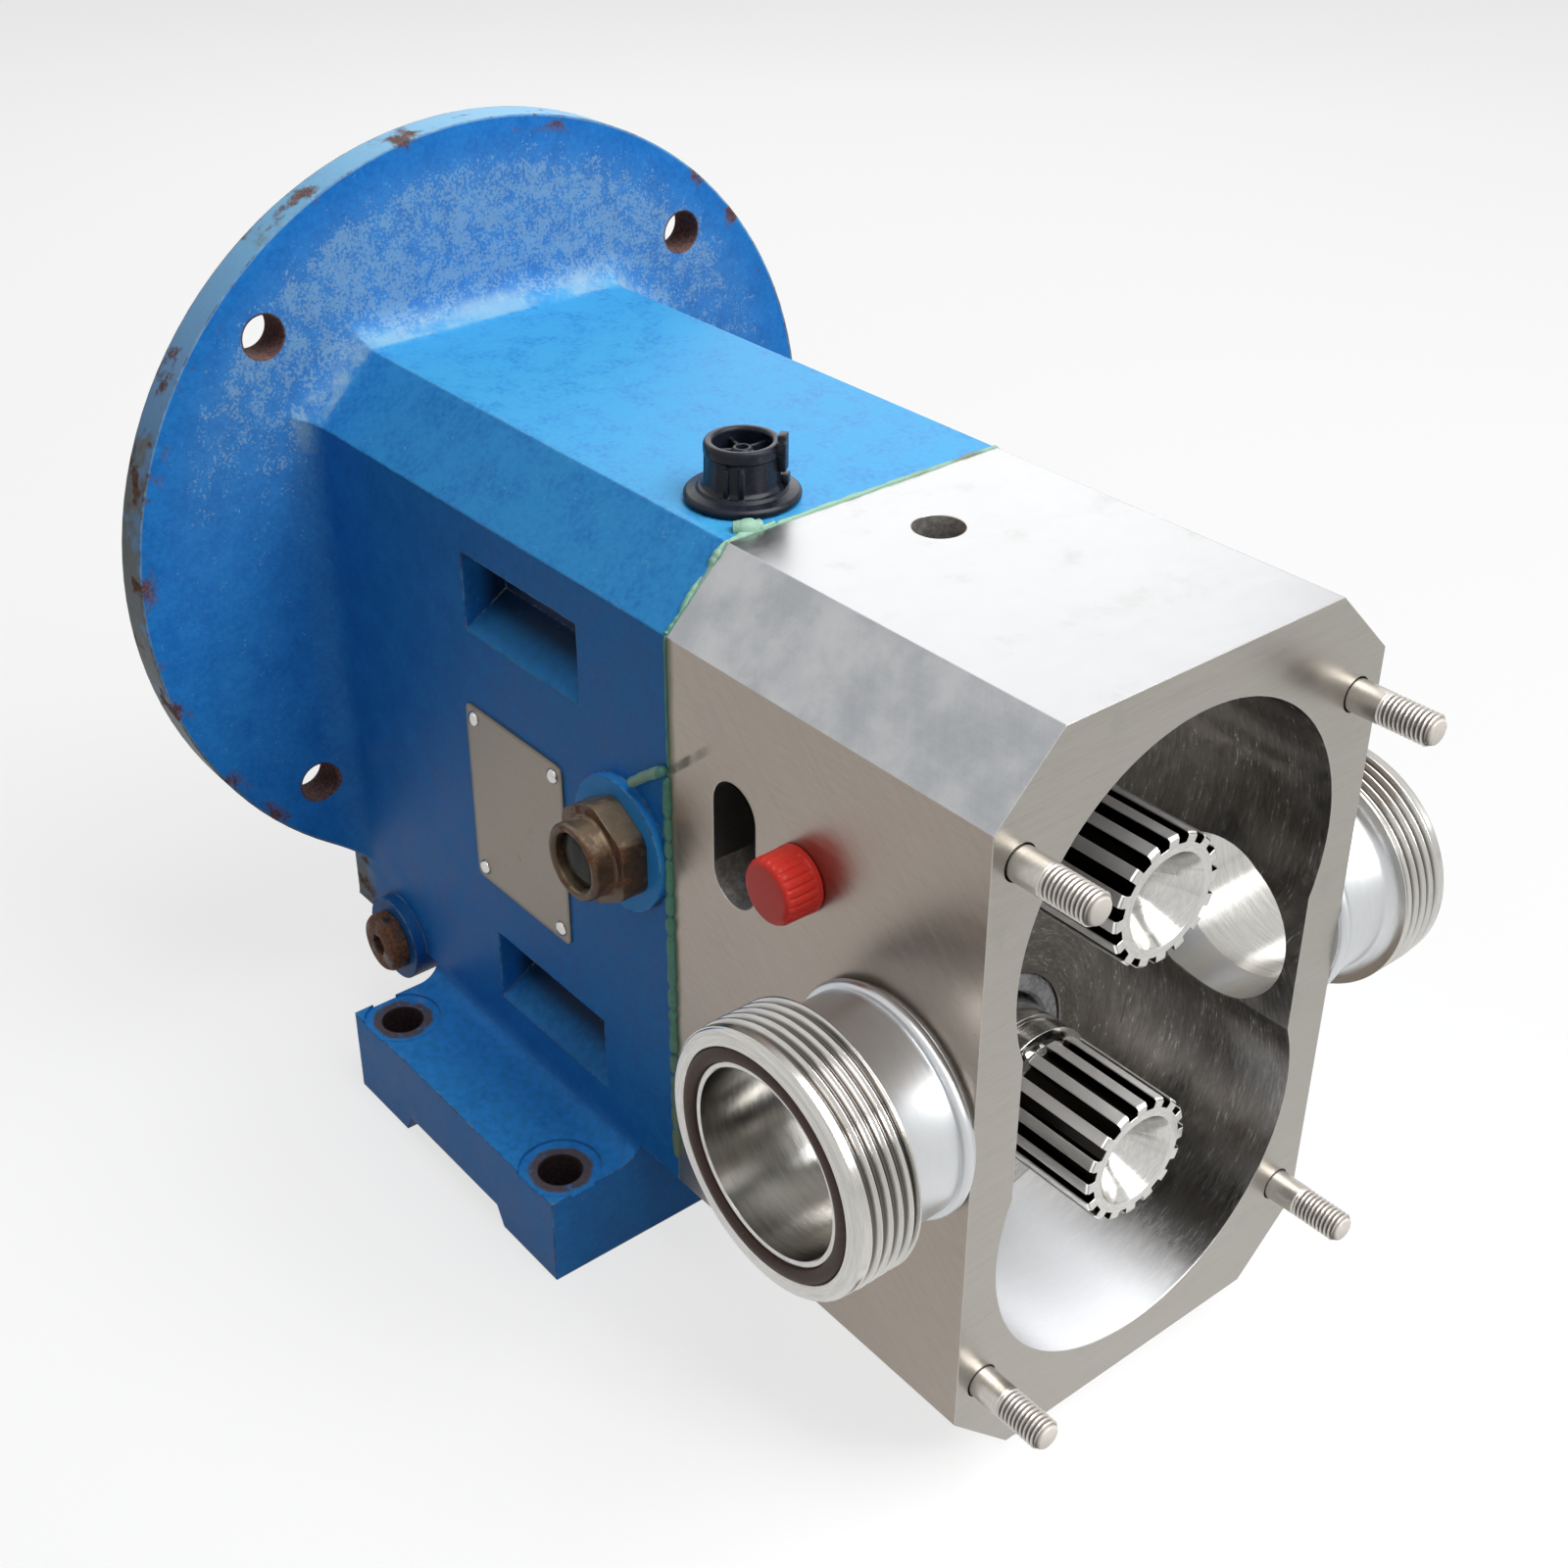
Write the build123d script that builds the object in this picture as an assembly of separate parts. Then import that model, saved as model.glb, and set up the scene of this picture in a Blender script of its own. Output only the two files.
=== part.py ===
from build123d import *
from math import acos, cos, degrees, pi, radians, sin, sqrt
import os

# Rotary lobe pump, bare-shaft end open: front cover and rotors off.
# Millimetres. +X runs along the shafts towards the open end, -Y is the side with the
# sight glass, +Z is up. The origin is the middle of the foot bolts on the base plane.

# ---- driving dimensions -------------------------------------------------------------
CENTRE_HEIGHT = 170.0        # base plane to the plane midway between the shafts
SHAFT_SPACING = 112.0        # drive shaft above, driven shaft below
CASE_FRONT_X = 261.0         # cover face of the rotor case
JOINT_X = 104.0              # front face of the gearbox housing
GASKET_THICK = 1.0
FLANGE_FRONT_X = -143.0
FLANGE_REAR_X = -160.0
BODY_REAR_X = -149.0          # the body's own section ends inside the flange

HALF_WIDTH = 90.0            # octagonal section shared by case and gearbox
HALF_HEIGHT = 149.0
CORNER_CHAMFER = 27.0

CHAMBER_RADIUS = 75.0
CHAMBER_REAR_X = 183.0
WAIST_HALF_WIDTH = 70.0      # flat walls that cut the cusps between the two bores
WAIST_HALF_HEIGHT = 30.0
PORT_X = 222.0
PORT_BORE_RADIUS = 33.0      # DN65 dairy fitting
PORT_THREAD_RADIUS = 47.5
PORT_NECK_RADIUS = 40.0
PORT_FACE_Y = 144.5
PORT_COLLAR_LENGTH = 25.0
PORT_WELD = 3.0              # leg of the weld bead at the neck's root
PORT_FACE_BEVEL = 2.5
PORT_LIP_DROP = 1.0          # inner lip of the face stands lower than the outer one
PORT_SEAL_INNER, PORT_SEAL_OUTER = 35.5, 40.5
PORT_SEAL_DEPTH, PORT_SEAL_PROUD = 4.0, 0.8
STUD_Y = 78.0
STUD_Z = 108.0
STUD_RADIUS = 6.0
STUD_PROUD = 32.0
STUD_BURIED = 24.0
STUD_BEVEL = 1.5
STUD_SHANK_RADIUS = 5.4      # waisted from the tapped seat to the cover face
STUD_HOLE_RADIUS = 6.6

SEAL_WALL_X = 165.0          # rear face of the wall that carries the shaft seals
SEAL_BORE_RADIUS = 36.0
SEAL_SPACE_RADIUS = 50.0     # open space between that wall and the gearbox
SEAL_SPACE_LINK = 60.0       # square that joins the spaces round the two shafts
SLOT_X, SLOT_LOW, SLOT_HIGH = 141.0, 31.0, 81.0
SLOT_WIDTH, SLOT_DEPTH = 23.0, 60.0
TOP_HOLE_RADIUS = 9.5
FLUSH_X, FLUSH_Z = 176.0, 62.0
FLUSH_HOLE_RADIUS, FLUSH_HOLE_DEPTH = 5.0, 70.0

FOOT_LENGTH = 156.0
FOOT_HALF_WIDTH = 134.0
FOOT_THICK = 41.0
FOOT_RELIEF_LENGTH = 78.0
FOOT_RELIEF_DEPTH = 9.0
PEDESTAL_TOP = 150.0         # square block that carries the body's bevelled lower corners
FOOT_ROOT_FILLET, FLANGE_ROOT_FILLET = 10.0, 14.0
FOOT_HOLE_X, FOOT_HOLE_Y, FOOT_HOLE_RADIUS = 62.0, 119.0, 9.0
FOOT_SPOTFACE_RADIUS, FOOT_SPOTFACE_DEPTH = 17.0, 1.5

FLANGE_RADIUS = 175.0        # 350 mm motor flange, bolts on 300 mm, spigot 250 mm
FLANGE_BOLT_RADIUS = 150.0
FLANGE_HOLE_RADIUS = 9.25
SPIGOT_RADIUS = 125.0
SPIGOT_DEPTH = 6.0
BELL_RADIUS = 100.0
BELL_WALL, BELL_CHAMFER = 14.0, 21.0
REAR_WALL_X = -96.0

GEAR_SPACE_RADIUS = 66.0
CARRIER_FIT = 0.05           # radial play of the carrier in the housing
CARRIER_FLANGE_RADIUS = 78.0
CARRIER_FLANGE_X = 90.0
CARRIER_REAR_X = 62.0
CARRIER_SCREW_RADIUS = 72.0  # three screws round each shaft's end of the carrier
SCREW_RADIUS, SCREW_REAR_X = 3.0, 78.0
SCREW_HEAD_RADIUS, SCREW_HEAD_HEIGHT, SCREW_HEAD_SUNK = 5.0, 6.0, 0.5
SCREW_CLEARANCE, SCREW_SINK_CLEARANCE = 0.3, 0.5
LIP_X0, LIP_X1, LIP_SEAT_RADIUS = 94.0, 103.5, 37.5
GEAR_SPACE_REAR_X = -46.0

MODULE = 4.0
TEETH = 28
GEAR_FRONT_X, GEAR_REAR_X = 20.0, -16.0
PRESSURE_ANGLE = radians(20.0)
BACKLASH = 0.3

SPLINE_FRONT_X, SPLINE_REAR_X = 255.0, 211.0
SPLINES = 16
SPLINE_TIP_RADIUS, SPLINE_ROOT_RADIUS = 25.0, 21.5
SPLINE_WIDTH = 4.4
SEAL_SHAFT_RADIUS = 26.0
FRONT_SEAT_RADIUS = 27.5
GEAR_SEAT_RADIUS = 34.0
REAR_SEAT_RADIUS = 32.5
NUT_SEAT_RADIUS = 32.0
MOTOR_BORE_RADIUS = 21.0
MOTOR_BORE_DEPTH = 110.0
MOTOR_KEY_WIDTH, MOTOR_KEY_RISE = 12.0, 3.3
DRIVE_SHAFT_REAR_X = -150.0
DRIVEN_SHAFT_REAR_X = -83.0
KEY_WIDTH, KEY_LENGTH = 18.0, 30.0
KEY_LOW_RADIUS, KEY_HIGH_RADIUS = 27.0, 38.0

FRONT_BEARING = dict(x0=63.0, x1=88.0, bore=27.5, inner=33.5, outer=44.0, rim=50.0)
REAR_BEARING = dict(x0=-66.0, x1=-48.0, bore=32.5, inner=38.5, outer=44.5, rim=50.0)
NUT_X0, NUT_X1, NUT_RADIUS = -80.0, -66.0, 42.5
NUT_NOTCH_DEPTH, NUT_NOTCH_WIDTH = 3.0, 8.0
NUT_CLEARANCE, SHAFT_END_CLEARANCE = 1.5, 2.0
REAR_LIP_SEAT_RADIUS = 40.0
SLEEVE_RADIUS = 38.5
GEAR_COLLAR_RADIUS, GEAR_COLLAR_X1 = 39.0, 34.0
CENTRE_BORE_RADIUS, COUNTERSINK_RADIUS, COUNTERSINK_DEPTH = 8.0, 18.0, 17.0

SHAFT_HEIGHTS = dict(drive=CENTRE_HEIGHT + SHAFT_SPACING / 2,
                     driven=CENTRE_HEIGHT - SHAFT_SPACING / 2)
FLANGE_HEIGHT = SHAFT_HEIGHTS["drive"]

SIGHT_X, SIGHT_Z, SIGHT_BOSS_RADIUS, SIGHT_BOSS_PROUD = 76.0, 195.0, 27.0, 4.0
BREATHER_X, BREATHER_Y, BREATHER_HOLE_RADIUS = 79.0, -36.0, 9.0
SIGHT_STEM_RADIUS, SIGHT_WINDOW_RADIUS, SIGHT_PASSAGE_RADIUS = 13.0, 11.5, 8.5
SIGHT_WINDOW_SEAT = 14.0
DRAIN_X, DRAIN_Z, DRAIN_BOSS_RADIUS, DRAIN_FACE_Y = -107.0, 48.0, 20.0, 96.0
DRAIN_STEM_RADIUS = 10.0
PLATE_X, PLATE_Z, PLATE_WIDTH, PLATE_HEIGHT = 2.0, 165.0, 68.0, 84.0
PLATE_THICK, PLATE_CORNER = 0.8, 4.0
RIVET_INSET, RIVET_RADIUS, RIVET_HEIGHT = 6.0, 3.2, 1.6
POCKET_LENGTH, POCKET_HEIGHT, POCKET_DEPTH = 78.0, 35.0, 18.0
POCKET_SLOPE = 14.7          # height of the sloping lower face
POCKETS = [(11.0, 257.0), (17.0, 80.0)]   # X and Z of each pocket's middle


# ---- helpers ------------------------------------------------------------------------
def axis_plane(x=0.0, y=0.0, z=0.0, direction=(1, 0, 0)):
    """Work plane whose normal is the axis that a turned piece is made about."""
    return Plane(origin=(x, y, z), z_dir=direction)


def shaft_plane(shaft):
    """Plane across a shaft at X = 0, with its normal along the shaft."""
    return Plane(origin=(0, 0, SHAFT_HEIGHTS[shaft]), x_dir=(0, 1, 0), z_dir=(1, 0, 0))


def turned(points, plane):
    """Solid of revolution from (radius, distance along the axis) points."""
    profile = Plane.XZ * make_face(Polyline(*points, close=True))
    return plane * revolve(profile, Axis.Z)


def ring(plane, start, end, inner, outer):
    """Plain ring between two distances along a plane's normal."""
    return turned([(inner, start), (outer, start), (outer, end), (inner, end)], plane)


def rod(plane, start, end, radius):
    """Plain cylinder between two distances along a plane's normal."""
    return turned([(0, start), (radius, start), (radius, end), (0, end)], plane)


def across(sketch, start, end):
    """Extrude a sketch drawn in (Y, Z) about the pump's middle between two X values."""
    return extrude(Plane.YZ.offset(start) * Pos(0, CENTRE_HEIGHT) * sketch, end - start)


def octagon():
    """Outer section: a tall rectangle with its four corners cut at 45 degrees."""
    block = Rectangle(2 * HALF_WIDTH, 2 * HALF_HEIGHT)
    return chamfer(block.vertices(), CORNER_CHAMFER)


def obround(radius):
    """Two shaft-centred circles joined by their tangents."""
    return SlotCenterToCenter(SHAFT_SPACING, 2 * radius, rotation=90)


def at_shafts(sketch):
    """The same sketch on both shaft centres."""
    return Pos(0, SHAFT_SPACING / 2) * sketch + Pos(0, -SHAFT_SPACING / 2) * sketch


def side_plane(x, z, y=-HALF_WIDTH):
    """Plane on the near side, with its normal pointing out of the pump."""
    return Plane(origin=(x, y, z), x_dir=(1, 0, 0), z_dir=(0, -1, 0))


def stud_points():
    return [(y, z) for y in (-STUD_Y, STUD_Y) for z in (-STUD_Z, STUD_Z)]


def foot_hole_points():
    return [(x, y) for x in (-FOOT_HOLE_X, FOOT_HOLE_X) for y in (-FOOT_HOLE_Y, FOOT_HOLE_Y)]


def carrier_screw_points():
    """Three screws round each end of the carrier's flange."""
    points = []
    for end in (1, -1):
        for angle in (35, 90, 145):
            y = CARRIER_SCREW_RADIUS * cos(radians(angle))
            z = end * (SHAFT_SPACING / 2 + CARRIER_SCREW_RADIUS * sin(radians(angle)))
            points.append((y, z))
    return points


# ---- stainless block ----------------------------------------------------------------
def case_block(start, end):
    """Length of the octagonal stainless block, drilled for the four studs."""
    body = across(octagon(), start, end)
    for y, z in stud_points():
        body -= rod(axis_plane(0, y, CENTRE_HEIGHT + z), start, end, STUD_HOLE_RADIUS)
    return body


def rotor_case():
    """Front of the block: the rotor chamber and the two port openings."""
    body = case_block(CHAMBER_REAR_X, CASE_FRONT_X)
    waist = Rectangle(2 * WAIST_HALF_WIDTH, 2 * WAIST_HALF_HEIGHT)
    body -= across(at_shafts(Circle(CHAMBER_RADIUS)) + waist, CHAMBER_REAR_X, CASE_FRONT_X)
    port_axis = axis_plane(PORT_X, 0, CENTRE_HEIGHT, (0, 1, 0))
    return body - rod(port_axis, -HALF_WIDTH, HALF_WIDTH, PORT_BORE_RADIUS)


def seal_space():
    """Section of the open space round both shafts, behind the seal wall."""
    return at_shafts(Circle(SEAL_SPACE_RADIUS)) + Rectangle(SEAL_SPACE_LINK, SEAL_SPACE_LINK)


def seal_housing():
    """Rear of the block: wall with the seal seats, seal space and the holes into it."""
    rear_x = JOINT_X + GASKET_THICK
    body = case_block(rear_x, CHAMBER_REAR_X)
    body -= across(at_shafts(Circle(SEAL_BORE_RADIUS)), SEAL_WALL_X, CHAMBER_REAR_X)
    body -= across(seal_space(), rear_x, SEAL_WALL_X)
    top = axis_plane(SLOT_X, 0, CENTRE_HEIGHT, (0, 0, 1))
    body -= rod(top, SHAFT_SPACING / 2, HALF_HEIGHT, TOP_HOLE_RADIUS)
    slot = SlotOverall(SLOT_HIGH - SLOT_LOW, SLOT_WIDTH, rotation=90)
    slot_plane = side_plane(SLOT_X, CENTRE_HEIGHT + (SLOT_LOW + SLOT_HIGH) / 2)
    body -= extrude(slot_plane * slot, -SLOT_DEPTH)
    flush_plane = side_plane(FLUSH_X, CENTRE_HEIGHT + FLUSH_Z)
    return body - rod(flush_plane, -FLUSH_HOLE_DEPTH, 0, FLUSH_HOLE_RADIUS)


def case_gasket():
    """Flat joint gasket, open round the seal space and at the studs."""
    sheet = octagon() - seal_space()
    for y, z in stud_points():
        sheet -= Pos(y, z) * Circle(STUD_HOLE_RADIUS)
    return across(sheet, JOINT_X, JOINT_X + GASKET_THICK)


def cover_studs():
    """Four long studs through the block: waisted inside it, full size in front."""
    rear, front = JOINT_X - STUD_BURIED, CASE_FRONT_X + STUD_PROUD
    profile = [(0, rear), (STUD_SHANK_RADIUS, rear), (STUD_SHANK_RADIUS, CASE_FRONT_X),
               (STUD_RADIUS, CASE_FRONT_X), (STUD_RADIUS, front - STUD_BEVEL),
               (STUD_RADIUS - STUD_BEVEL, front), (0, front)]
    return [turned(profile, axis_plane(0, y, CENTRE_HEIGHT + z)) for y, z in stud_points()]


def port(side):
    """Screwed dairy fitting: weld ring, neck, thread collar and a grooved seal face."""
    collar = PORT_FACE_Y - PORT_COLLAR_LENGTH
    groove_floor = PORT_FACE_Y - PORT_SEAL_DEPTH
    inner_lip = PORT_FACE_Y - PORT_LIP_DROP
    profile = [
        (PORT_BORE_RADIUS, HALF_WIDTH), (PORT_NECK_RADIUS + PORT_WELD, HALF_WIDTH),
        (PORT_NECK_RADIUS, HALF_WIDTH + PORT_WELD), (PORT_NECK_RADIUS, collar - PORT_WELD),
        (PORT_THREAD_RADIUS, collar), (PORT_THREAD_RADIUS, PORT_FACE_Y - PORT_FACE_BEVEL),
        (PORT_THREAD_RADIUS - PORT_FACE_BEVEL, PORT_FACE_Y), (PORT_SEAL_OUTER, PORT_FACE_Y),
        (PORT_SEAL_OUTER, groove_floor), (PORT_SEAL_INNER, groove_floor),
        (PORT_SEAL_INNER, inner_lip), (PORT_BORE_RADIUS, inner_lip),
    ]
    return turned(profile, axis_plane(PORT_X, 0, CENTRE_HEIGHT, (0, side, 0)))


def port_seal(side):
    """Rubber ring in the groove of a port's face, a little proud of it."""
    plane = axis_plane(PORT_X, 0, CENTRE_HEIGHT, (0, side, 0))
    return ring(plane, PORT_FACE_Y - PORT_SEAL_DEPTH, PORT_FACE_Y + PORT_SEAL_PROUD,
                PORT_SEAL_INNER, PORT_SEAL_OUTER)


# ---- gearbox housing ----------------------------------------------------------------
def foot():
    """Cast foot plate with bolt holes, spot faces and a relieved underside."""
    plate = Pos(0, 0, FOOT_THICK / 2) * Box(FOOT_LENGTH, 2 * FOOT_HALF_WIDTH, FOOT_THICK)
    half, depth = FOOT_RELIEF_LENGTH / 2, FOOT_RELIEF_DEPTH
    relief = Polyline((-half, 0), (half, 0), (half - depth / 2, depth),
                      (-half + depth / 2, depth), close=True)
    channel = extrude(Plane.XZ * make_face(relief), FOOT_HALF_WIDTH, both=True)
    return plate - channel


def side_pocket(x, z, side):
    """Cast recess in a side wall: square upper edge, lower face sloping outwards."""
    end_draft, run_out = 3, 1
    mouth = Pos(x, z) * Rectangle(POCKET_LENGTH, POCKET_HEIGHT)
    floor = Pos(x, z + POCKET_SLOPE / 2) * Rectangle(
        POCKET_LENGTH - 2 * end_draft, POCKET_HEIGHT - POCKET_SLOPE)
    mouth_plane = Plane.XZ.offset(-side * (HALF_WIDTH + run_out))
    floor_plane = Plane.XZ.offset(-side * (HALF_WIDTH - POCKET_DEPTH))
    return loft([mouth_plane * mouth, floor_plane * floor])


def gearbox_housing():
    """One casting: octagonal body, motor flange, foot, bosses and the gear space."""
    body = across(octagon(), BODY_REAR_X, JOINT_X)
    body += foot()
    pedestal = Box(FOOT_LENGTH, 2 * HALF_WIDTH, PEDESTAL_TOP - FOOT_RELIEF_DEPTH)
    body += Pos(0, 0, (PEDESTAL_TOP + FOOT_RELIEF_DEPTH) / 2) * pedestal
    flange_axis = axis_plane(0, 0, FLANGE_HEIGHT)
    body += rod(flange_axis, FLANGE_REAR_X, FLANGE_FRONT_X, FLANGE_RADIUS)
    body = blend_edges(body)
    sight = side_plane(SIGHT_X, SIGHT_Z)
    body += rod(sight, -SIGHT_BOSS_PROUD, SIGHT_BOSS_PROUD, SIGHT_BOSS_RADIUS)
    drain = side_plane(DRAIN_X, DRAIN_Z, -DRAIN_FACE_Y)
    body += rod(drain, -2 * DRAIN_BOSS_RADIUS, 0, DRAIN_BOSS_RADIUS)
    return machine_housing(body)


def blend_edges(body):
    """Casting fillets where the flange and the foot grow out of the body."""
    flange_root = [e for e in body.edges()
                   if abs(e.center().X - FLANGE_FRONT_X) < 0.01
                   and e.geom_type == GeomType.LINE
                   and e.bounding_box().size.X < 0.01]
    body = fillet(flange_root, FLANGE_ROOT_FILLET)
    foot_root = [e for e in body.edges().filter_by(Axis.X)
                 if abs(e.center().Z - FOOT_THICK) < 0.01
                 and abs(abs(e.center().Y) - HALF_WIDTH) < 0.01]
    return fillet(foot_root, FOOT_ROOT_FILLET)


def machine_housing(body):
    """Everything cut into the casting: gear space, bearing seats, bell, holes."""
    drive = shaft_plane("drive")
    nut_space_x = DRIVEN_SHAFT_REAR_X - SHAFT_END_CLEARANCE
    body -= across(obround(CARRIER_FLANGE_RADIUS), CARRIER_FLANGE_X, JOINT_X)
    body -= across(obround(GEAR_SPACE_RADIUS), GEAR_SPACE_REAR_X, CARRIER_FLANGE_X)
    body -= across(at_shafts(Circle(REAR_BEARING["rim"])), REAR_BEARING["x0"],
                   GEAR_SPACE_REAR_X)
    body -= across(at_shafts(Circle(NUT_RADIUS + NUT_CLEARANCE)), nut_space_x,
                   REAR_BEARING["x0"])
    body -= rod(drive, REAR_WALL_X, nut_space_x, REAR_LIP_SEAT_RADIUS)
    inner = Rectangle(2 * (HALF_WIDTH - BELL_WALL), 2 * (HALF_HEIGHT - BELL_WALL))
    bell = across(chamfer(inner.vertices(), BELL_CHAMFER), FLANGE_REAR_X, REAR_WALL_X)
    body -= bell & rod(drive, FLANGE_REAR_X, REAR_WALL_X, BELL_RADIUS)
    body -= rod(drive, FLANGE_REAR_X, FLANGE_REAR_X + SPIGOT_DEPTH, SPIGOT_RADIUS)
    for x, z in POCKETS:
        for side in (-1, 1):
            body -= side_pocket(x, z, side)
    return drill_housing(body)


def drill_housing(body):
    """Bolt, stud, screw and fitting holes of the casting."""
    run_out = 1
    for angle in (45, 135, 225, 315):
        hole = (0, FLANGE_BOLT_RADIUS * cos(radians(angle)),
                FLANGE_HEIGHT + FLANGE_BOLT_RADIUS * sin(radians(angle)))
        body -= rod(axis_plane(*hole), FLANGE_REAR_X, FLANGE_FRONT_X + run_out,
                    FLANGE_HOLE_RADIUS)
    for y, z in stud_points():
        seat = axis_plane(0, y, CENTRE_HEIGHT + z)
        body -= rod(seat, JOINT_X - STUD_BURIED - 2 * STUD_BEVEL, JOINT_X, STUD_SHANK_RADIUS)
    for y, z in carrier_screw_points():
        body -= rod(axis_plane(0, y, CENTRE_HEIGHT + z), SCREW_REAR_X - 2, CARRIER_FLANGE_X,
                    SCREW_RADIUS)
    for x, y in foot_hole_points():
        post = axis_plane(x, y, 0, (0, 0, 1))
        body -= rod(post, 0, FOOT_THICK, FOOT_HOLE_RADIUS)
        body -= rod(post, FOOT_THICK - FOOT_SPOTFACE_DEPTH, FOOT_THICK + FOOT_ROOT_FILLET,
                    FOOT_SPOTFACE_RADIUS)
    body -= rod(side_plane(SIGHT_X, SIGHT_Z), -30, SIGHT_BOSS_PROUD, SIGHT_STEM_RADIUS)
    body -= rod(side_plane(DRAIN_X, DRAIN_Z, -DRAIN_FACE_Y), -14, 0, DRAIN_STEM_RADIUS)
    return body - rod(breather_plane(), -50, 0, BREATHER_HOLE_RADIUS)


def bearing_carrier():
    """Front wall of the gear space: front bearing seats and lip seal seats."""
    body = across(obround(CARRIER_FLANGE_RADIUS - CARRIER_FIT), CARRIER_FLANGE_X, JOINT_X)
    body += across(obround(GEAR_SPACE_RADIUS - CARRIER_FIT), CARRIER_REAR_X,
                   CARRIER_FLANGE_X)
    seat_end = FRONT_BEARING["x1"]
    body -= across(at_shafts(Circle(FRONT_BEARING["rim"])), CARRIER_REAR_X, seat_end)
    body -= across(at_shafts(Circle(FRONT_BEARING["inner"] + 0.5)), seat_end, LIP_X0)
    body -= across(at_shafts(Circle(LIP_SEAT_RADIUS)), LIP_X0, JOINT_X)
    head_seat = JOINT_X - SCREW_HEAD_HEIGHT - SCREW_HEAD_SUNK
    for y, z in carrier_screw_points():
        place = axis_plane(0, y, CENTRE_HEIGHT + z)
        body -= rod(place, head_seat, JOINT_X, SCREW_HEAD_RADIUS + SCREW_SINK_CLEARANCE)
        body -= rod(place, CARRIER_FLANGE_X, JOINT_X, SCREW_RADIUS + SCREW_CLEARANCE)
    return body


def carrier_screws():
    """Cap screws that hold the bearing carrier in the housing."""
    top = JOINT_X - SCREW_HEAD_SUNK
    profile = [(0, SCREW_REAR_X), (SCREW_RADIUS, SCREW_REAR_X),
               (SCREW_RADIUS, top - SCREW_HEAD_HEIGHT),
               (SCREW_HEAD_RADIUS, top - SCREW_HEAD_HEIGHT), (SCREW_HEAD_RADIUS, top), (0, top)]
    return [turned(profile, axis_plane(0, y, CENTRE_HEIGHT + z))
            for y, z in carrier_screw_points()]


# ---- fittings on the housing --------------------------------------------------------
def breather_plane():
    """Seat of the vent plug on top of the housing."""
    return axis_plane(BREATHER_X, BREATHER_Y, CENTRE_HEIGHT + HALF_HEIGHT, (0, 0, 1))


def breather_plug():
    """Black moulded vent plug: threaded stem, wide flange, open-topped barrel."""
    plane = breather_plane()
    stem_length, flange, barrel, well, post = 14, 21, 13.2, 10.4, 4
    rim_height, floor_height, post_height = 22, 12, 19
    body = turned([(0, -stem_length), (BREATHER_HOLE_RADIUS, -stem_length),
                   (BREATHER_HOLE_RADIUS, 0), (flange, 0), (flange, 3), (flange - 1.5, 4.5),
                   (barrel + 1.3, 4.5), (barrel, 7), (barrel, rim_height), (well, rim_height),
                   (well, floor_height), (post, floor_height), (post, post_height),
                   (0, post_height)], plane)
    rib = Box(well - post + 1.1, 1.8, post_height - floor_height)
    for angle in (20, 140, 260):
        body += plane * Rot(0, 0, angle) * Pos(
            (well + post) / 2, 0, (floor_height + post_height - 1) / 2) * rib
    latch = plane * Rot(0, 0, 25) * Pos(barrel + 1.4, 0, 15.5) * Box(5, 7, 11)
    return body + latch


def sight_plane():
    """Seat of the sight fitting on its boss."""
    return side_plane(SIGHT_X, SIGHT_Z, -HALF_WIDTH - SIGHT_BOSS_PROUD)


def sight_glass_body():
    """Bronze sight fitting: stem, hexagon, round collar and an open window seat."""
    plane = sight_plane()
    corner, hexagon_height, corner_bevel = 22, 11, 1.5
    collar, rim, stem_length = 15.5, 20.5, 16
    rounding = [(0, 0), (corner - corner_bevel, 0), (corner, 1.2),
                (corner, hexagon_height - 1.2), (corner - corner_bevel, hexagon_height),
                (0, hexagon_height)]
    body = extrude(plane * RegularPolygon(corner, 6), hexagon_height) & turned(rounding, plane)
    body += rod(plane, -stem_length, 0, SIGHT_STEM_RADIUS)
    body += turned([(0, hexagon_height), (collar, hexagon_height), (collar, rim - 1),
                    (collar - 1, rim), (0, rim)], plane)
    body -= rod(plane, SIGHT_WINDOW_SEAT, rim, SIGHT_WINDOW_RADIUS)
    return body - rod(plane, -stem_length, SIGHT_WINDOW_SEAT, SIGHT_PASSAGE_RADIUS)


def sight_glass_lens():
    """Window, sunk a little below the rim of the fitting."""
    return rod(sight_plane(), SIGHT_WINDOW_SEAT, SIGHT_WINDOW_SEAT + 4.5, SIGHT_WINDOW_RADIUS)


def sight_reflector():
    """White disc behind the window with the oil passage through it."""
    oil_passage, front, thick = 3, SIGHT_WINDOW_SEAT - 2, 2
    return ring(sight_plane(), front - thick, front, oil_passage, SIGHT_PASSAGE_RADIUS)


def drain_plug():
    """Round-headed plug with a square socket."""
    plane = side_plane(DRAIN_X, DRAIN_Z, -DRAIN_FACE_Y)
    head, head_height, bevel, stem_length = 14, 8.5, 1.5, 13
    body = turned([(0, -stem_length), (DRAIN_STEM_RADIUS, -stem_length), (DRAIN_STEM_RADIUS, 0),
                   (head, 0), (head, head_height - bevel), (head - bevel, head_height),
                   (0, head_height)], plane)
    top = Plane(plane.origin + plane.z_dir * head_height, x_dir=(1, 0, 0.4), z_dir=plane.z_dir)
    return body - extrude(top * Rectangle(9, 9), -6)


def nameplate():
    """Blank plate with rounded corners."""
    outline = RectangleRounded(PLATE_WIDTH, PLATE_HEIGHT, PLATE_CORNER)
    return extrude(side_plane(PLATE_X, PLATE_Z) * outline, PLATE_THICK)


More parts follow.
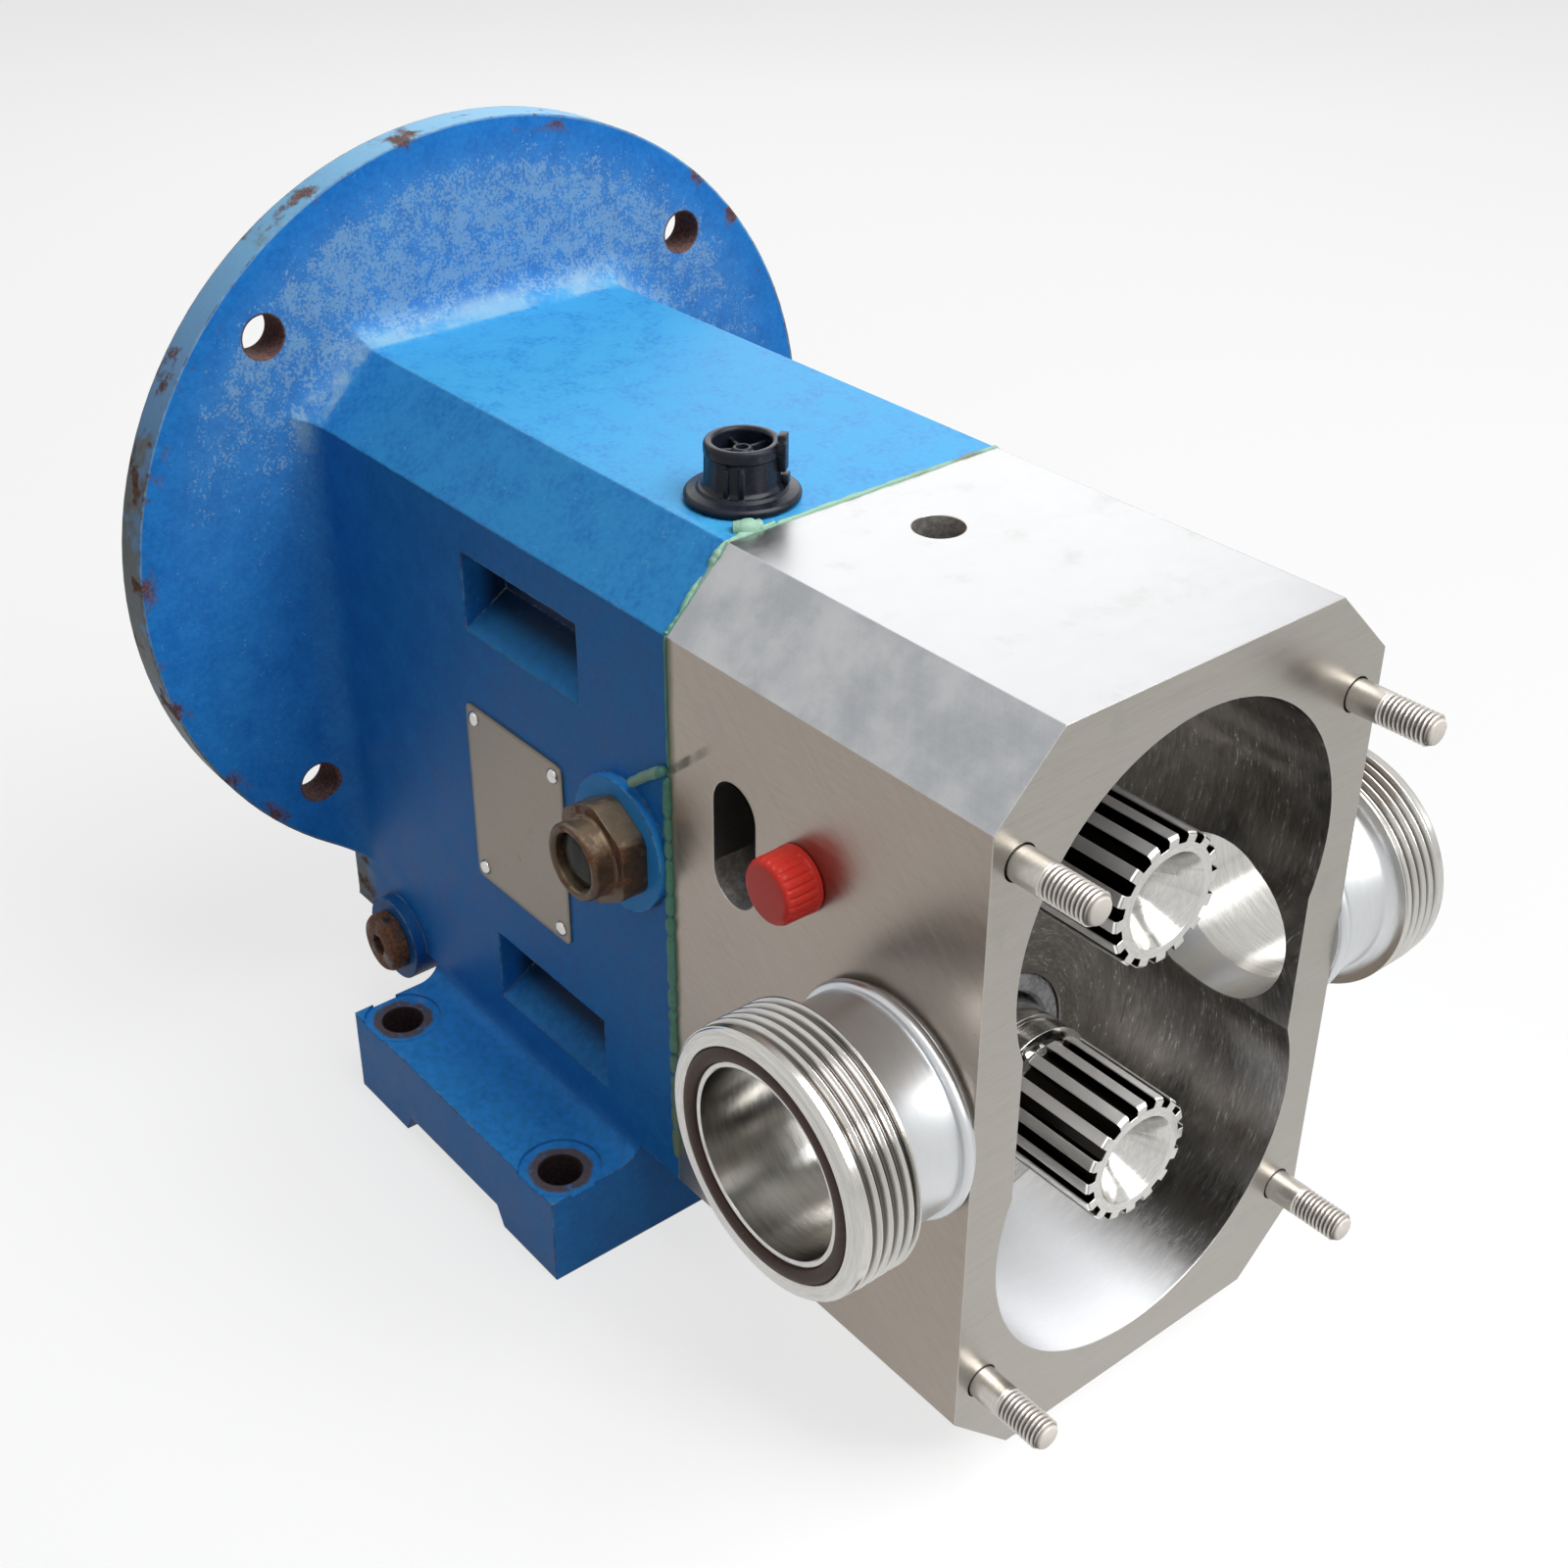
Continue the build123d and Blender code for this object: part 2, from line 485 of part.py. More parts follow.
def nameplate_rivets():
    """Four low rivet heads on the plate's corners."""
    across_plate, up_plate = PLATE_WIDTH / 2 - RIVET_INSET, PLATE_HEIGHT / 2 - RIVET_INSET
    return [rod(side_plane(PLATE_X + x, PLATE_Z + z), PLATE_THICK, PLATE_THICK + RIVET_HEIGHT,
                RIVET_RADIUS)
            for x in (-across_plate, across_plate) for z in (-up_plate, up_plate)]


def flush_port_plug():
    """Red protective plug in the flushing port of the upper seal."""
    plane = side_plane(FLUSH_X, CENTRE_HEIGHT + FLUSH_Z)
    stem_length, cap, cap_height, draft = 10, 12.4, 15, 0.4
    body = rod(plane, -stem_length, 0, FLUSH_HOLE_RADIUS)
    return body + turned([(0, 0), (cap, 0), (cap - draft, cap_height - 1.5),
                          (cap - draft - 1, cap_height), (0, cap_height)], plane)


# ---- shafts and what turns with them ------------------------------------------------
def shaft_blank(shaft, rear_x):
    """Turned shaft with its splined end, bearing seats, gear seat and centre bore."""
    groove, groove_x = SEAL_SHAFT_RADIUS - 1.5, 196
    relief, relief_x = SPLINE_ROOT_RADIUS - 1, 206
    profile = [
        (0, rear_x), (NUT_SEAT_RADIUS - 2, rear_x), (NUT_SEAT_RADIUS - 2, NUT_X0),
        (NUT_SEAT_RADIUS, NUT_X0), (NUT_SEAT_RADIUS, NUT_X1),
        (REAR_SEAT_RADIUS, NUT_X1), (REAR_SEAT_RADIUS, GEAR_REAR_X),
        (GEAR_SEAT_RADIUS, GEAR_REAR_X), (GEAR_SEAT_RADIUS, GEAR_FRONT_X),
        (GEAR_COLLAR_RADIUS, GEAR_FRONT_X), (GEAR_COLLAR_RADIUS, GEAR_COLLAR_X1),
        (NUT_SEAT_RADIUS, GEAR_COLLAR_X1), (NUT_SEAT_RADIUS, FRONT_BEARING["x0"]),
        (FRONT_SEAT_RADIUS, FRONT_BEARING["x0"]), (FRONT_SEAT_RADIUS, LIP_X0 - 1),
        (SEAL_SHAFT_RADIUS, LIP_X0 - 1), (SEAL_SHAFT_RADIUS, groove_x),
        (groove, groove_x + 0.6), (groove, groove_x + 3.4), (SEAL_SHAFT_RADIUS, groove_x + 4),
        (SEAL_SHAFT_RADIUS, relief_x), (relief, relief_x + 1), (relief, SPLINE_REAR_X),
        (SPLINE_TIP_RADIUS, SPLINE_REAR_X), (SPLINE_TIP_RADIUS, SPLINE_FRONT_X - 1),
        (SPLINE_TIP_RADIUS - 1, SPLINE_FRONT_X), (COUNTERSINK_RADIUS, SPLINE_FRONT_X),
        (CENTRE_BORE_RADIUS, SPLINE_FRONT_X - COUNTERSINK_DEPTH),
        (CENTRE_BORE_RADIUS, SPLINE_FRONT_X - 42), (0, SPLINE_FRONT_X - 46),
    ]
    return turned(profile, shaft_plane(shaft))


def cut_splines(body, shaft):
    """Mill the straight-sided grooves between the splines."""
    tip_angle = SPLINE_WIDTH / SPLINE_TIP_RADIUS
    root_angle = SPLINE_WIDTH / SPLINE_ROOT_RADIUS
    pitch = 2 * pi / SPLINES

    def polar(radius, angle):
        return (radius * cos(angle), radius * sin(angle))

    low, high = SPLINE_ROOT_RADIUS, SPLINE_TIP_RADIUS + 1
    groove = make_face(Polyline(
        polar(low, root_angle / 2), polar(high, tip_angle / 2),
        polar(high, pitch - tip_angle / 2), polar(low, pitch - root_angle / 2), close=True))
    grooves = Sketch() + [Rot(0, 0, degrees(i * pitch)) * groove for i in range(SPLINES)]
    plane = shaft_plane(shaft)
    return body - extrude(plane.offset(SPLINE_REAR_X) * grooves,
                          SPLINE_FRONT_X - SPLINE_REAR_X)


def key_block(shaft, low, high):
    """Block on top of a shaft, in the middle of the gear's width."""
    middle = (GEAR_FRONT_X + GEAR_REAR_X) / 2
    return Pos(middle, 0, SHAFT_HEIGHTS[shaft] + (low + high) / 2) * Box(
        KEY_LENGTH, KEY_WIDTH, high - low)


def shaft(name):
    rear_x = DRIVE_SHAFT_REAR_X if name == "drive" else DRIVEN_SHAFT_REAR_X
    body = cut_splines(shaft_blank(name, rear_x), name)
    body -= key_block(name, KEY_LOW_RADIUS, KEY_HIGH_RADIUS)
    if name == "drive":
        body -= rod(shaft_plane(name), rear_x, rear_x + MOTOR_BORE_DEPTH, MOTOR_BORE_RADIUS)
        keyway_top = MOTOR_BORE_RADIUS + MOTOR_KEY_RISE
        keyway = Box(MOTOR_BORE_DEPTH, MOTOR_KEY_WIDTH, keyway_top)
        body -= Pos(rear_x + MOTOR_BORE_DEPTH / 2, 0,
                    SHAFT_HEIGHTS[name] + keyway_top / 2) * keyway
    return body


def involute_angle(radius, base):
    """Polar angle of the involute at a radius, from where it leaves the base circle."""
    return sqrt((radius / base) ** 2 - 1) - acos(base / radius)


def timing_gear(name):
    """Involute spur gear; the driven one is turned half a pitch so the two mesh."""
    pitch_radius = MODULE * TEETH / 2
    base = pitch_radius * cos(PRESSURE_ANGLE)
    tip, root = pitch_radius + MODULE - 0.1, pitch_radius - 1.25 * MODULE
    half_tooth = pi / (2 * TEETH) - BACKLASH / 2 / pitch_radius
    half_base = half_tooth + involute_angle(pitch_radius, base)
    middle = (base + tip) / 2

    def point(radius, angle):
        return (radius * cos(angle), radius * sin(angle))

    def flank_angle(radius):
        return half_base - involute_angle(radius, base)

    lines = []
    for tooth in range(TEETH):
        centre = 2 * pi * tooth / TEETH
        following = 2 * pi * (tooth + 1) / TEETH
        rise = [point(root, centre - half_base), point(base, centre - half_base),
                point(middle, centre - flank_angle(middle)),
                point(tip, centre - flank_angle(tip))]
        fall = [point(tip, centre + flank_angle(tip)),
                point(middle, centre + flank_angle(middle)),
                point(base, centre + half_base), point(root, centre + half_base)]
        lines += [Line(rise[0], rise[1]), ThreePointArc(*rise[1:]), Line(rise[3], fall[0]),
                  ThreePointArc(*fall[:3]), Line(fall[2], fall[3]),
                  Line(fall[3], point(root, following - half_base))]
    blank = make_face(lines) - Circle(GEAR_SEAT_RADIUS)
    turn = 90 if name == "driven" else 90 + 180 / TEETH
    plane = shaft_plane(name).offset(GEAR_REAR_X)
    gear = extrude(plane * Rot(0, 0, turn) * blank, GEAR_FRONT_X - GEAR_REAR_X)
    keyway = Box(GEAR_FRONT_X - GEAR_REAR_X, KEY_WIDTH, KEY_HIGH_RADIUS)
    middle_x = (GEAR_FRONT_X + GEAR_REAR_X) / 2
    return gear - Pos(middle_x, 0, SHAFT_HEIGHTS[name] + KEY_HIGH_RADIUS / 2) * keyway


def gear_key(name):
    """Parallel key, seated in the shaft and standing into the gear."""
    return key_block(name, KEY_LOW_RADIUS, KEY_HIGH_RADIUS)


def spacer_sleeve(name):
    """Tube that holds the gear off the rear bearing."""
    return ring(shaft_plane(name), REAR_BEARING["x1"], GEAR_REAR_X, REAR_SEAT_RADIUS,
                SLEEVE_RADIUS)


def lock_nut(name):
    """Slotted ring nut behind the rear bearing."""
    nut = ring(shaft_plane(name), NUT_X0, NUT_X1, NUT_SEAT_RADIUS, NUT_RADIUS)
    for angle in (0, 90, 180, 270):
        notch = Rot(0, 0, angle) * Pos(NUT_RADIUS, 0) * Rectangle(
            2 * NUT_NOTCH_DEPTH, NUT_NOTCH_WIDTH)
        nut -= extrude(shaft_plane(name).offset(NUT_X0) * notch, NUT_X1 - NUT_X0)
    return nut


def seal_head(name):
    """Turning half of the mechanical seal: face ring, spring groove and clamp collar."""
    collar, spring, face = 34, 30.5, 33
    rear_x, front_x = 128, SEAL_WALL_X + 1
    profile = [(SEAL_SHAFT_RADIUS, rear_x), (collar, rear_x), (collar, rear_x + 12),
               (spring, rear_x + 13), (spring, front_x - 14), (face, front_x - 13),
               (face, front_x - 3), (face - 2, front_x), (SEAL_SHAFT_RADIUS, front_x)]
    return turned(profile, shaft_plane(name))


def seal_seat(name):
    """Fixed half of the mechanical seal, in the case wall round the shaft."""
    rear_x, bore = SEAL_WALL_X + 1.5, SEAL_SHAFT_RADIUS + 1.5
    profile = [(bore, rear_x), (SEAL_BORE_RADIUS, rear_x),
               (SEAL_BORE_RADIUS, CHAMBER_REAR_X - 2), (SEAL_BORE_RADIUS - 2, CHAMBER_REAR_X),
               (bore + 1.5, CHAMBER_REAR_X), (bore, CHAMBER_REAR_X - 1.5)]
    return turned(profile, shaft_plane(name))


def lip_seal(name, x0, x1, shaft_radius, seat_radius):
    """Rubber-covered lip seal that stands just clear of its shaft."""
    lip = shaft_radius + 0.05
    profile = [(seat_radius, x0), (seat_radius, x1), (lip + 2, x1), (lip, (x0 + x1) / 2),
               (lip + 4, x0)]
    return turned(profile, shaft_plane(name))


def bearing_ring(name, bearing, inner):
    """One race of a bearing, on the shaft or in the housing."""
    low, high = ("bore", "inner") if inner else ("outer", "rim")
    return ring(shaft_plane(name), bearing["x0"], bearing["x1"], bearing[low], bearing[high])


# ---- writing ------------------------------------------------------------------------
def pieces():
    """Every node of the pump, by name."""
    nodes = {
        "gearbox_housing": gearbox_housing(),
        "bearing_carrier": bearing_carrier(),
        "carrier_screws": carrier_screws(),
        "rotor_case": rotor_case(),
        "seal_housing": seal_housing(),
        "case_gasket": case_gasket(),
        "cover_studs": cover_studs(),
        "inlet_port": port(-1),
        "outlet_port": port(1),
        "inlet_port_seal": port_seal(-1),
        "outlet_port_seal": port_seal(1),
        "breather_plug": breather_plug(),
        "sight_glass_body": sight_glass_body(),
        "sight_glass_lens": sight_glass_lens(),
        "sight_glass_reflector": sight_reflector(),
        "drain_plug": drain_plug(),
        "nameplate": nameplate(),
        "nameplate_rivets": nameplate_rivets(),
        "flush_port_plug": flush_port_plug(),
        "rear_lip_seal": lip_seal("drive", REAR_WALL_X + 0.5, REAR_WALL_X + 9.5,
                                  NUT_SEAT_RADIUS - 2, REAR_LIP_SEAT_RADIUS),
    }
    for name in SHAFT_HEIGHTS:
        nodes[f"{name}_shaft"] = shaft(name)
        nodes[f"{name}_gear"] = timing_gear(name)
        nodes[f"{name}_gear_key"] = gear_key(name)
        nodes[f"{name}_spacer_sleeve"] = spacer_sleeve(name)
        nodes[f"{name}_lock_nut"] = lock_nut(name)
        nodes[f"{name}_seal_head"] = seal_head(name)
        nodes[f"{name}_seal_seat"] = seal_seat(name)
        nodes[f"{name}_front_lip_seal"] = lip_seal(name, LIP_X0, LIP_X1, SEAL_SHAFT_RADIUS,
                                                   LIP_SEAT_RADIUS)
        for place, bearing in (("front", FRONT_BEARING), ("rear", REAR_BEARING)):
            nodes[f"{name}_{place}_inner_race"] = bearing_ring(name, bearing, True)
            nodes[f"{name}_{place}_outer_race"] = bearing_ring(name, bearing, False)
    return nodes


os.makedirs("parts", exist_ok=True)
for node, shape in pieces().items():
    solids = shape if isinstance(shape, list) else shape.solids()
    export_step(Compound(children=list(solids), label=node), f"parts/{node}.step")
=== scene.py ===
from math import cos, pi, radians, sin, sqrt, tau
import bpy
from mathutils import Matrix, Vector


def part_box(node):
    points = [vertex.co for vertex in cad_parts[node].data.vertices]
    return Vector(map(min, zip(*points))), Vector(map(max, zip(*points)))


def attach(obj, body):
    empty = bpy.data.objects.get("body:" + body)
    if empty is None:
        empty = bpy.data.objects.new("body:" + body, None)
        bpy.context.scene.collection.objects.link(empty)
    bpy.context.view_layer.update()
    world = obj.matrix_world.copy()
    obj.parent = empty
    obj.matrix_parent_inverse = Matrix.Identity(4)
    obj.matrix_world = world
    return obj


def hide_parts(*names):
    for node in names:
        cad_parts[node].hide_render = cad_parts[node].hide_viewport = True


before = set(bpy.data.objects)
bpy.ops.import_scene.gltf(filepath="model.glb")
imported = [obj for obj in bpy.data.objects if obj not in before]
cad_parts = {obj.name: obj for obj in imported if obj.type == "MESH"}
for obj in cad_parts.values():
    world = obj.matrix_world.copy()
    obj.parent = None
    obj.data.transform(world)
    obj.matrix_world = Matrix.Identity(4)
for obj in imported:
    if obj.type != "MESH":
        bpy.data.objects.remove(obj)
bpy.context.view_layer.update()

from types import SimpleNamespace

import bpy
import bmesh
from bpy.props import (FloatProperty, FloatVectorProperty, IntProperty,
                       PointerProperty)
from mathutils import Matrix, Vector, noise

bl_info = {
    "name": "Lobe Pump Finish",
    "version": (1, 0, 0),
    "blender": (4, 5, 0),
    "location": "View3D > Sidebar > Lobe Pump",
    "description": "Finishes and fine pieces of a rotary lobe pump around its packed frame",
    "category": "Object",
}

# Metres. +X runs along the shafts to the open end, -Y is the side with the sight
# glass, +Z is up, as in the frame.
MM = 0.001

# mathutils.noise starts from the clock unless it is given a seed
NOISE_SEED = 1


# ---- places on the pump ---------------------------------------------------------------
def middle(node):
    low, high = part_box(node)
    return (low + high) / 2


CASE_LOW, CASE_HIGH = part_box("rotor_case")
HOUSING_LOW, HOUSING_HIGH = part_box("gearbox_housing")
STUDS_LOW, STUDS_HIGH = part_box("cover_studs")
PLATE_LOW, PLATE_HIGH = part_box("nameplate")
PORT_LOW, PORT_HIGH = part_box("inlet_port")
PORT_CENTRE = Vector((middle("inlet_port").x, 0, middle("inlet_port").z))
SIGHT_CENTRE = middle("sight_glass_body")
DRAIN_CENTRE = middle("drain_plug")
DRIVE_HEIGHT = middle("drive_gear").z
DRIVEN_HEIGHT = middle("driven_gear").z

# the stainless block and what is cut into it
BLOCK_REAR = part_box("seal_housing")[0].x
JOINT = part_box("case_gasket")[0].x
CHAMBER_REAR = CASE_LOW.x
OPEN_END = CASE_HIGH.x
TOP = CASE_HIGH.z
HALF_WIDTH = CASE_HIGH.y
CENTRE_HEIGHT = (CASE_LOW.z + CASE_HIGH.z) / 2
CORNER_CHAMFER = 27 * MM
CHAMBER_RADIUS = 75 * MM
WAIST_Y, WAIST_Z = 70 * MM, 30 * MM
SLOT_X, SLOT_RIM_Z = (129 * MM, 153 * MM), (200.7 * MM, 214 * MM)
TOP_HOLE_X, TOP_HOLE_RADIUS = 141 * MM, 9.5 * MM

# the casting: motor flange, foot and side pockets
FLANGE_REAR = HOUSING_LOW.x
FLANGE_FRONT = FLANGE_REAR + 17 * MM
FLANGE_RADIUS = (HOUSING_HIGH.y - HOUSING_LOW.y) / 2
FLANGE_HOLE_OFFSET = 150 * MM / sqrt(2)
SPIGOT_RADIUS, SPIGOT_DEPTH = 125 * MM, 6 * MM
FOOT_TOP = 41 * MM
FOOT_HOLE_X, FOOT_HOLE_Y = 62 * MM, 119 * MM
POCKET_X = (-40 * MM, 70 * MM)
LOWER_POCKET_Z, UPPER_POCKET_Z = (62 * MM, 98 * MM), (239 * MM, 275 * MM)

# studs, ports and splines
STUD_RADIUS, STUD_SHANK = 6 * MM, 5.4 * MM
STUD_Y = STUDS_HIGH.y - STUD_RADIUS
STUD_Z = (STUDS_HIGH.z - STUDS_LOW.z) / 2 - STUD_RADIUS
PORT_FACE = -PORT_LOW.y
PORT_ROOT = -PORT_HIGH.y
COLLAR_ROOT = PORT_FACE - 25 * MM
COLLAR_RADIUS = PORT_HIGH.z - PORT_CENTRE.z
PORT_BORE, PORT_NECK = 33 * MM, 40 * MM
SPLINE_X, SPLINE_RADIUS = (211 * MM, 254.6 * MM), 25 * MM

# where the sealant strand is dragged over the joint
STRAND_HEIGHT = 239 * MM

# colours that belong to one finish
LIT_SLOPE_BLUE = (0.045, 0.345, 0.900)
BOSS_LIGHT_BLUE = (0.040, 0.380, 0.950)
GRUBBY_BLUE = (0.010, 0.055, 0.190)
SHADE_BLUE = (0.005, 0.014, 0.045)
GREY_SCUFF = (0.33, 0.33, 0.29)
OLIVE_DIRT, PALE_DIRT = (0.10, 0.11, 0.085), (0.21, 0.19, 0.14)
OLIVE_RUST = (0.150, 0.105, 0.058)
HOLE_SHADE_BLACK = (0.012, 0.012, 0.014)
DARK_RUST, BRIGHT_RUST = (0.050, 0.024, 0.016), (0.235, 0.085, 0.032)
DULL_STEEL = (0.415, 0.400, 0.372)
SLOPE_SHEEN_DARK, SLOPE_SHEEN_LIGHT = (0.335, 0.350, 0.370), (0.455, 0.465, 0.480)
TOP_FACE_SHEEN = (0.395, 0.400, 0.410)
FRONT_FACE_SHADE = (0.330, 0.311, 0.280)
BRUSHED_LIGHT = (0.62, 0.60, 0.57)
STEEL_STAIN = (0.25, 0.24, 0.225)
CUT_DARK, CUT_LIGHT = (0.205, 0.192, 0.178), (0.50, 0.485, 0.465)
CHAMBER_FLOOR_LIGHT = (0.80, 0.82, 0.85)
PITTED_DARK, PITTED_GLINT = (0.24, 0.220, 0.205), (0.46, 0.44, 0.42)
EDGE_HIGHLIGHT = (0.72, 0.71, 0.69)
TURNED_EDGE_HIGHLIGHT = (0.78, 0.77, 0.75)
SMEARED_GREEN = (0.105, 0.135, 0.075)
BROWN_GRIME = (0.09, 0.07, 0.05)
THREAD_VALLEY_DARK = (0.075, 0.065, 0.058)
NECK_SHEEN = (0.60, 0.625, 0.655)
SPLINE_CROWN_SHEEN, SPLINE_GROOVE_SHADE = (0.90, 0.89, 0.87), (0.030, 0.027, 0.025)
STUD_LINES, STUD_TAN = (0.66, 0.63, 0.58), (0.30, 0.25, 0.20)
STUD_DIRT, STUD_END = (0.075, 0.055, 0.042), (0.70, 0.66, 0.61)
GREY_DUST = (0.35, 0.33, 0.30)
OIL_DARK, OIL_LIGHT, BAR_BLACK = (0.014, 0.012, 0.008), (0.036, 0.032, 0.020), (0.004, 0.004, 0.003)
PALE_SEALANT, OILY_SEALANT = (0.33, 0.53, 0.40), (0.10, 0.11, 0.045)
OLIVE_SEALANT = (0.16, 0.12, 0.07)
PLATE_LINES = (0.42, 0.39, 0.34)
PLATE_DIRT, PLATE_BLOTS = (0.085, 0.070, 0.055), (0.14, 0.115, 0.09)


# ---- settings -------------------------------------------------------------------------
def colour_setting(label, text, value):
    return FloatVectorProperty(name=label, description=text, default=value, size=3,
                               min=0.0, max=1.0, subtype="COLOR")


def length_setting(label, text, value):
    return FloatProperty(name=label, description=text, default=value, min=0.0,
                         subtype="DISTANCE", unit="LENGTH")


def share_setting(label, text, value):
    return FloatProperty(name=label, description=text, default=value, min=0.0, max=1.0,
                         subtype="FACTOR")


def power_setting(label, text, value):
    return FloatProperty(name=label, description=text, default=value, min=0.0,
                         subtype="POWER", unit="POWER")


class PaintSettings(bpy.types.PropertyGroup):
    """Sprayed machine paint on the casting, and what has worn through it."""
    colour: colour_setting("Paint", "Body colour of the paint", (0.011, 0.160, 0.520))
    pale: colour_setting("Light Paint", "Lighter mottling of the paint", (0.023, 0.238, 0.655))
    # painted light: the lighter paint laid on upward faces
    lit_top: colour_setting("Faded Paint", "Paint faded on upward faces", (0.055, 0.365, 0.690))
    chalk: colour_setting("Chalk", "Pale scuffs and paint flecks", (0.42, 0.60, 0.64))
    iron: colour_setting("Bare Iron", "Machined faces of the casting", (0.20, 0.19, 0.18))
    wear: share_setting("Wear", "How much of the edges has worn", 0.55)


class MetalSettings(bpy.types.PropertyGroup):
    """Stainless case, fittings, studs and shafts."""
    case: colour_setting("Case", "Ground stainless steel of the case", (0.44, 0.425, 0.40))
    # painted shade: the darker colour of the case's sides
    side: colour_setting("Case Sides", "Darker ground sides of the case", (0.300, 0.252, 0.212))
    fitting: colour_setting("Fittings", "Polished screwed ports", (0.60, 0.585, 0.555))
    shaft: colour_setting("Shafts", "Ground and polished shafts", (0.62, 0.61, 0.585))
    stud: colour_setting("Studs", "Turned studs", (0.54, 0.52, 0.49))
    bronze: colour_setting("Bronze", "Tarnished sight fitting", (0.110, 0.070, 0.045))
    plate: colour_setting("Nameplate", "Dull aluminium plate", (0.36, 0.315, 0.262))


class TrimSettings(bpy.types.PropertyGroup):
    """Plastic, rubber and sealant."""
    cap: colour_setting("Red Plug", "Moulded protective plug", (0.82, 0.030, 0.020))
    vent: colour_setting("Breather", "Moulded black vent plug", (0.006, 0.008, 0.015))
    rubber: colour_setting("Port Rings", "Rubber rings in the ports", (0.040, 0.020, 0.015))
    sealant: colour_setting("Sealant", "Squeezed-out joint sealant", (0.110, 0.340, 0.240))
    bead_width: length_setting("Bead Width", "Width of the sealant bead", 3.2 * MM)


class ThreadSettings(bpy.types.PropertyGroup):
    """Threads that are cut on the ports and the studs."""
    port_pitch: length_setting("Port Pitch", "Pitch of the round port thread", 4.233 * MM)
    port_depth: length_setting("Port Depth", "Depth of the round port thread", 2.2 * MM)
    stud_pitch: length_setting("Stud Pitch", "Pitch of the stud thread", 1.75 * MM)
    stud_depth: length_setting("Stud Depth", "Depth of the stud thread", 1.05 * MM)
    stud_plain: length_setting("Plain Shank", "Unthreaded length next to the case", 12 * MM)
    cap_ribs: IntProperty(name="Plug Ribs", description="Ribs round the red plug",
                          default=24, min=3, max=90)


class StageSettings(bpy.types.PropertyGroup):
    """Floor, lamps and camera."""
    floor: colour_setting("Floor", "Colour of the floor", (0.80, 0.80, 0.80))
    key_power: power_setting("Key Lamp", "Power of the overhead lamp", 46.0)
    back_power: power_setting("Back Lamp", "Power of the far panel", 9.0)
    side_power: power_setting("Side Lamp", "Power of the open side's panel", 8.0)
    chamber_power: power_setting("Chamber Lamp", "Power of the lamp into the chamber", 0.40)
    room: share_setting("Room Light", "Even light from all round", 0.20)
    lens: FloatProperty(name="Lens", description="Focal length on a 36 mm sensor",
                        default=48.23, min=1.0, subtype="DISTANCE_CAMERA")
    camera: FloatVectorProperty(name="Camera", description="Where the camera stands", size=3,
                                default=(0.6090, -0.4583, 0.6266), subtype="XYZ",
                                unit="LENGTH")
    aim: FloatVectorProperty(name="Camera Aim", description="Direction of the view", size=3,
                             default=(-0.68499, 0.51813, -0.51218), subtype="XYZ")
    roll: FloatProperty(name="Camera Roll", description="Turn about the view direction",
                        default=radians(-1.092), subtype="ANGLE", unit="ROTATION")


class PumpSettings(bpy.types.PropertyGroup):
    """All settings of the pump's finish."""
    paint: PointerProperty(type=PaintSettings)
    metal: PointerProperty(type=MetalSettings)
    trim: PointerProperty(type=TrimSettings)
    thread: PointerProperty(type=ThreadSettings)
    stage: PointerProperty(type=StageSettings)


def settings():
    return bpy.context.scene.lobe_pump_finish


# ---- node trees -----------------------------------------------------------------------
def rgba(colour):
    return (*tuple(colour)[:3], 1.0)


def scaled(colour, share):
    return tuple(share * value for value in colour)


class Value:
    """An output of a node. Sums and products with it add nodes, and | takes the larger."""

    def __init__(self, graph, socket):
        self.graph = graph
        self.socket = socket

    def __add__(self, other):
        return self.graph.math("ADD", self, other)

    def __radd__(self, other):
        return self.graph.math("ADD", other, self)

    def __sub__(self, other):
        return self.graph.math("SUBTRACT", self, other)

    def __rsub__(self, other):
        return self.graph.math("SUBTRACT", other, self)

    def __mul__(self, other):
        return self.graph.math("MULTIPLY", self, other)

    def __or__(self, other):
        return self.graph.math("MAXIMUM", self, other)

    def __abs__(self):
        return self.graph.math("ABSOLUTE", self)

    def step(self, low, high, out_low=0.0, out_high=1.0):
        """Smooth step from low to high; high may be below low."""
        inputs = {0: self, 1: low, 2: high, 3: out_low, 4: out_high}
        return self.graph.out("ShaderNodeMapRange", 0, inputs, interpolation_type="SMOOTHSTEP")

    def band(self, low, high, soft):
        """1 from low to high, and softly down to 0 on both sides."""
        return self.step(low - soft, low) * self.step(high + soft, high)

    def past(self, place, start, end):
        """Smooth step between two distances from a place, in millimetres."""
        return self.step(place + start * MM, place + end * MM)

    def within(self, place, low, high, soft):
        """Band between two distances from a place, all in millimetres."""
        return self.band(place + low * MM, place + high * MM, soft * MM)


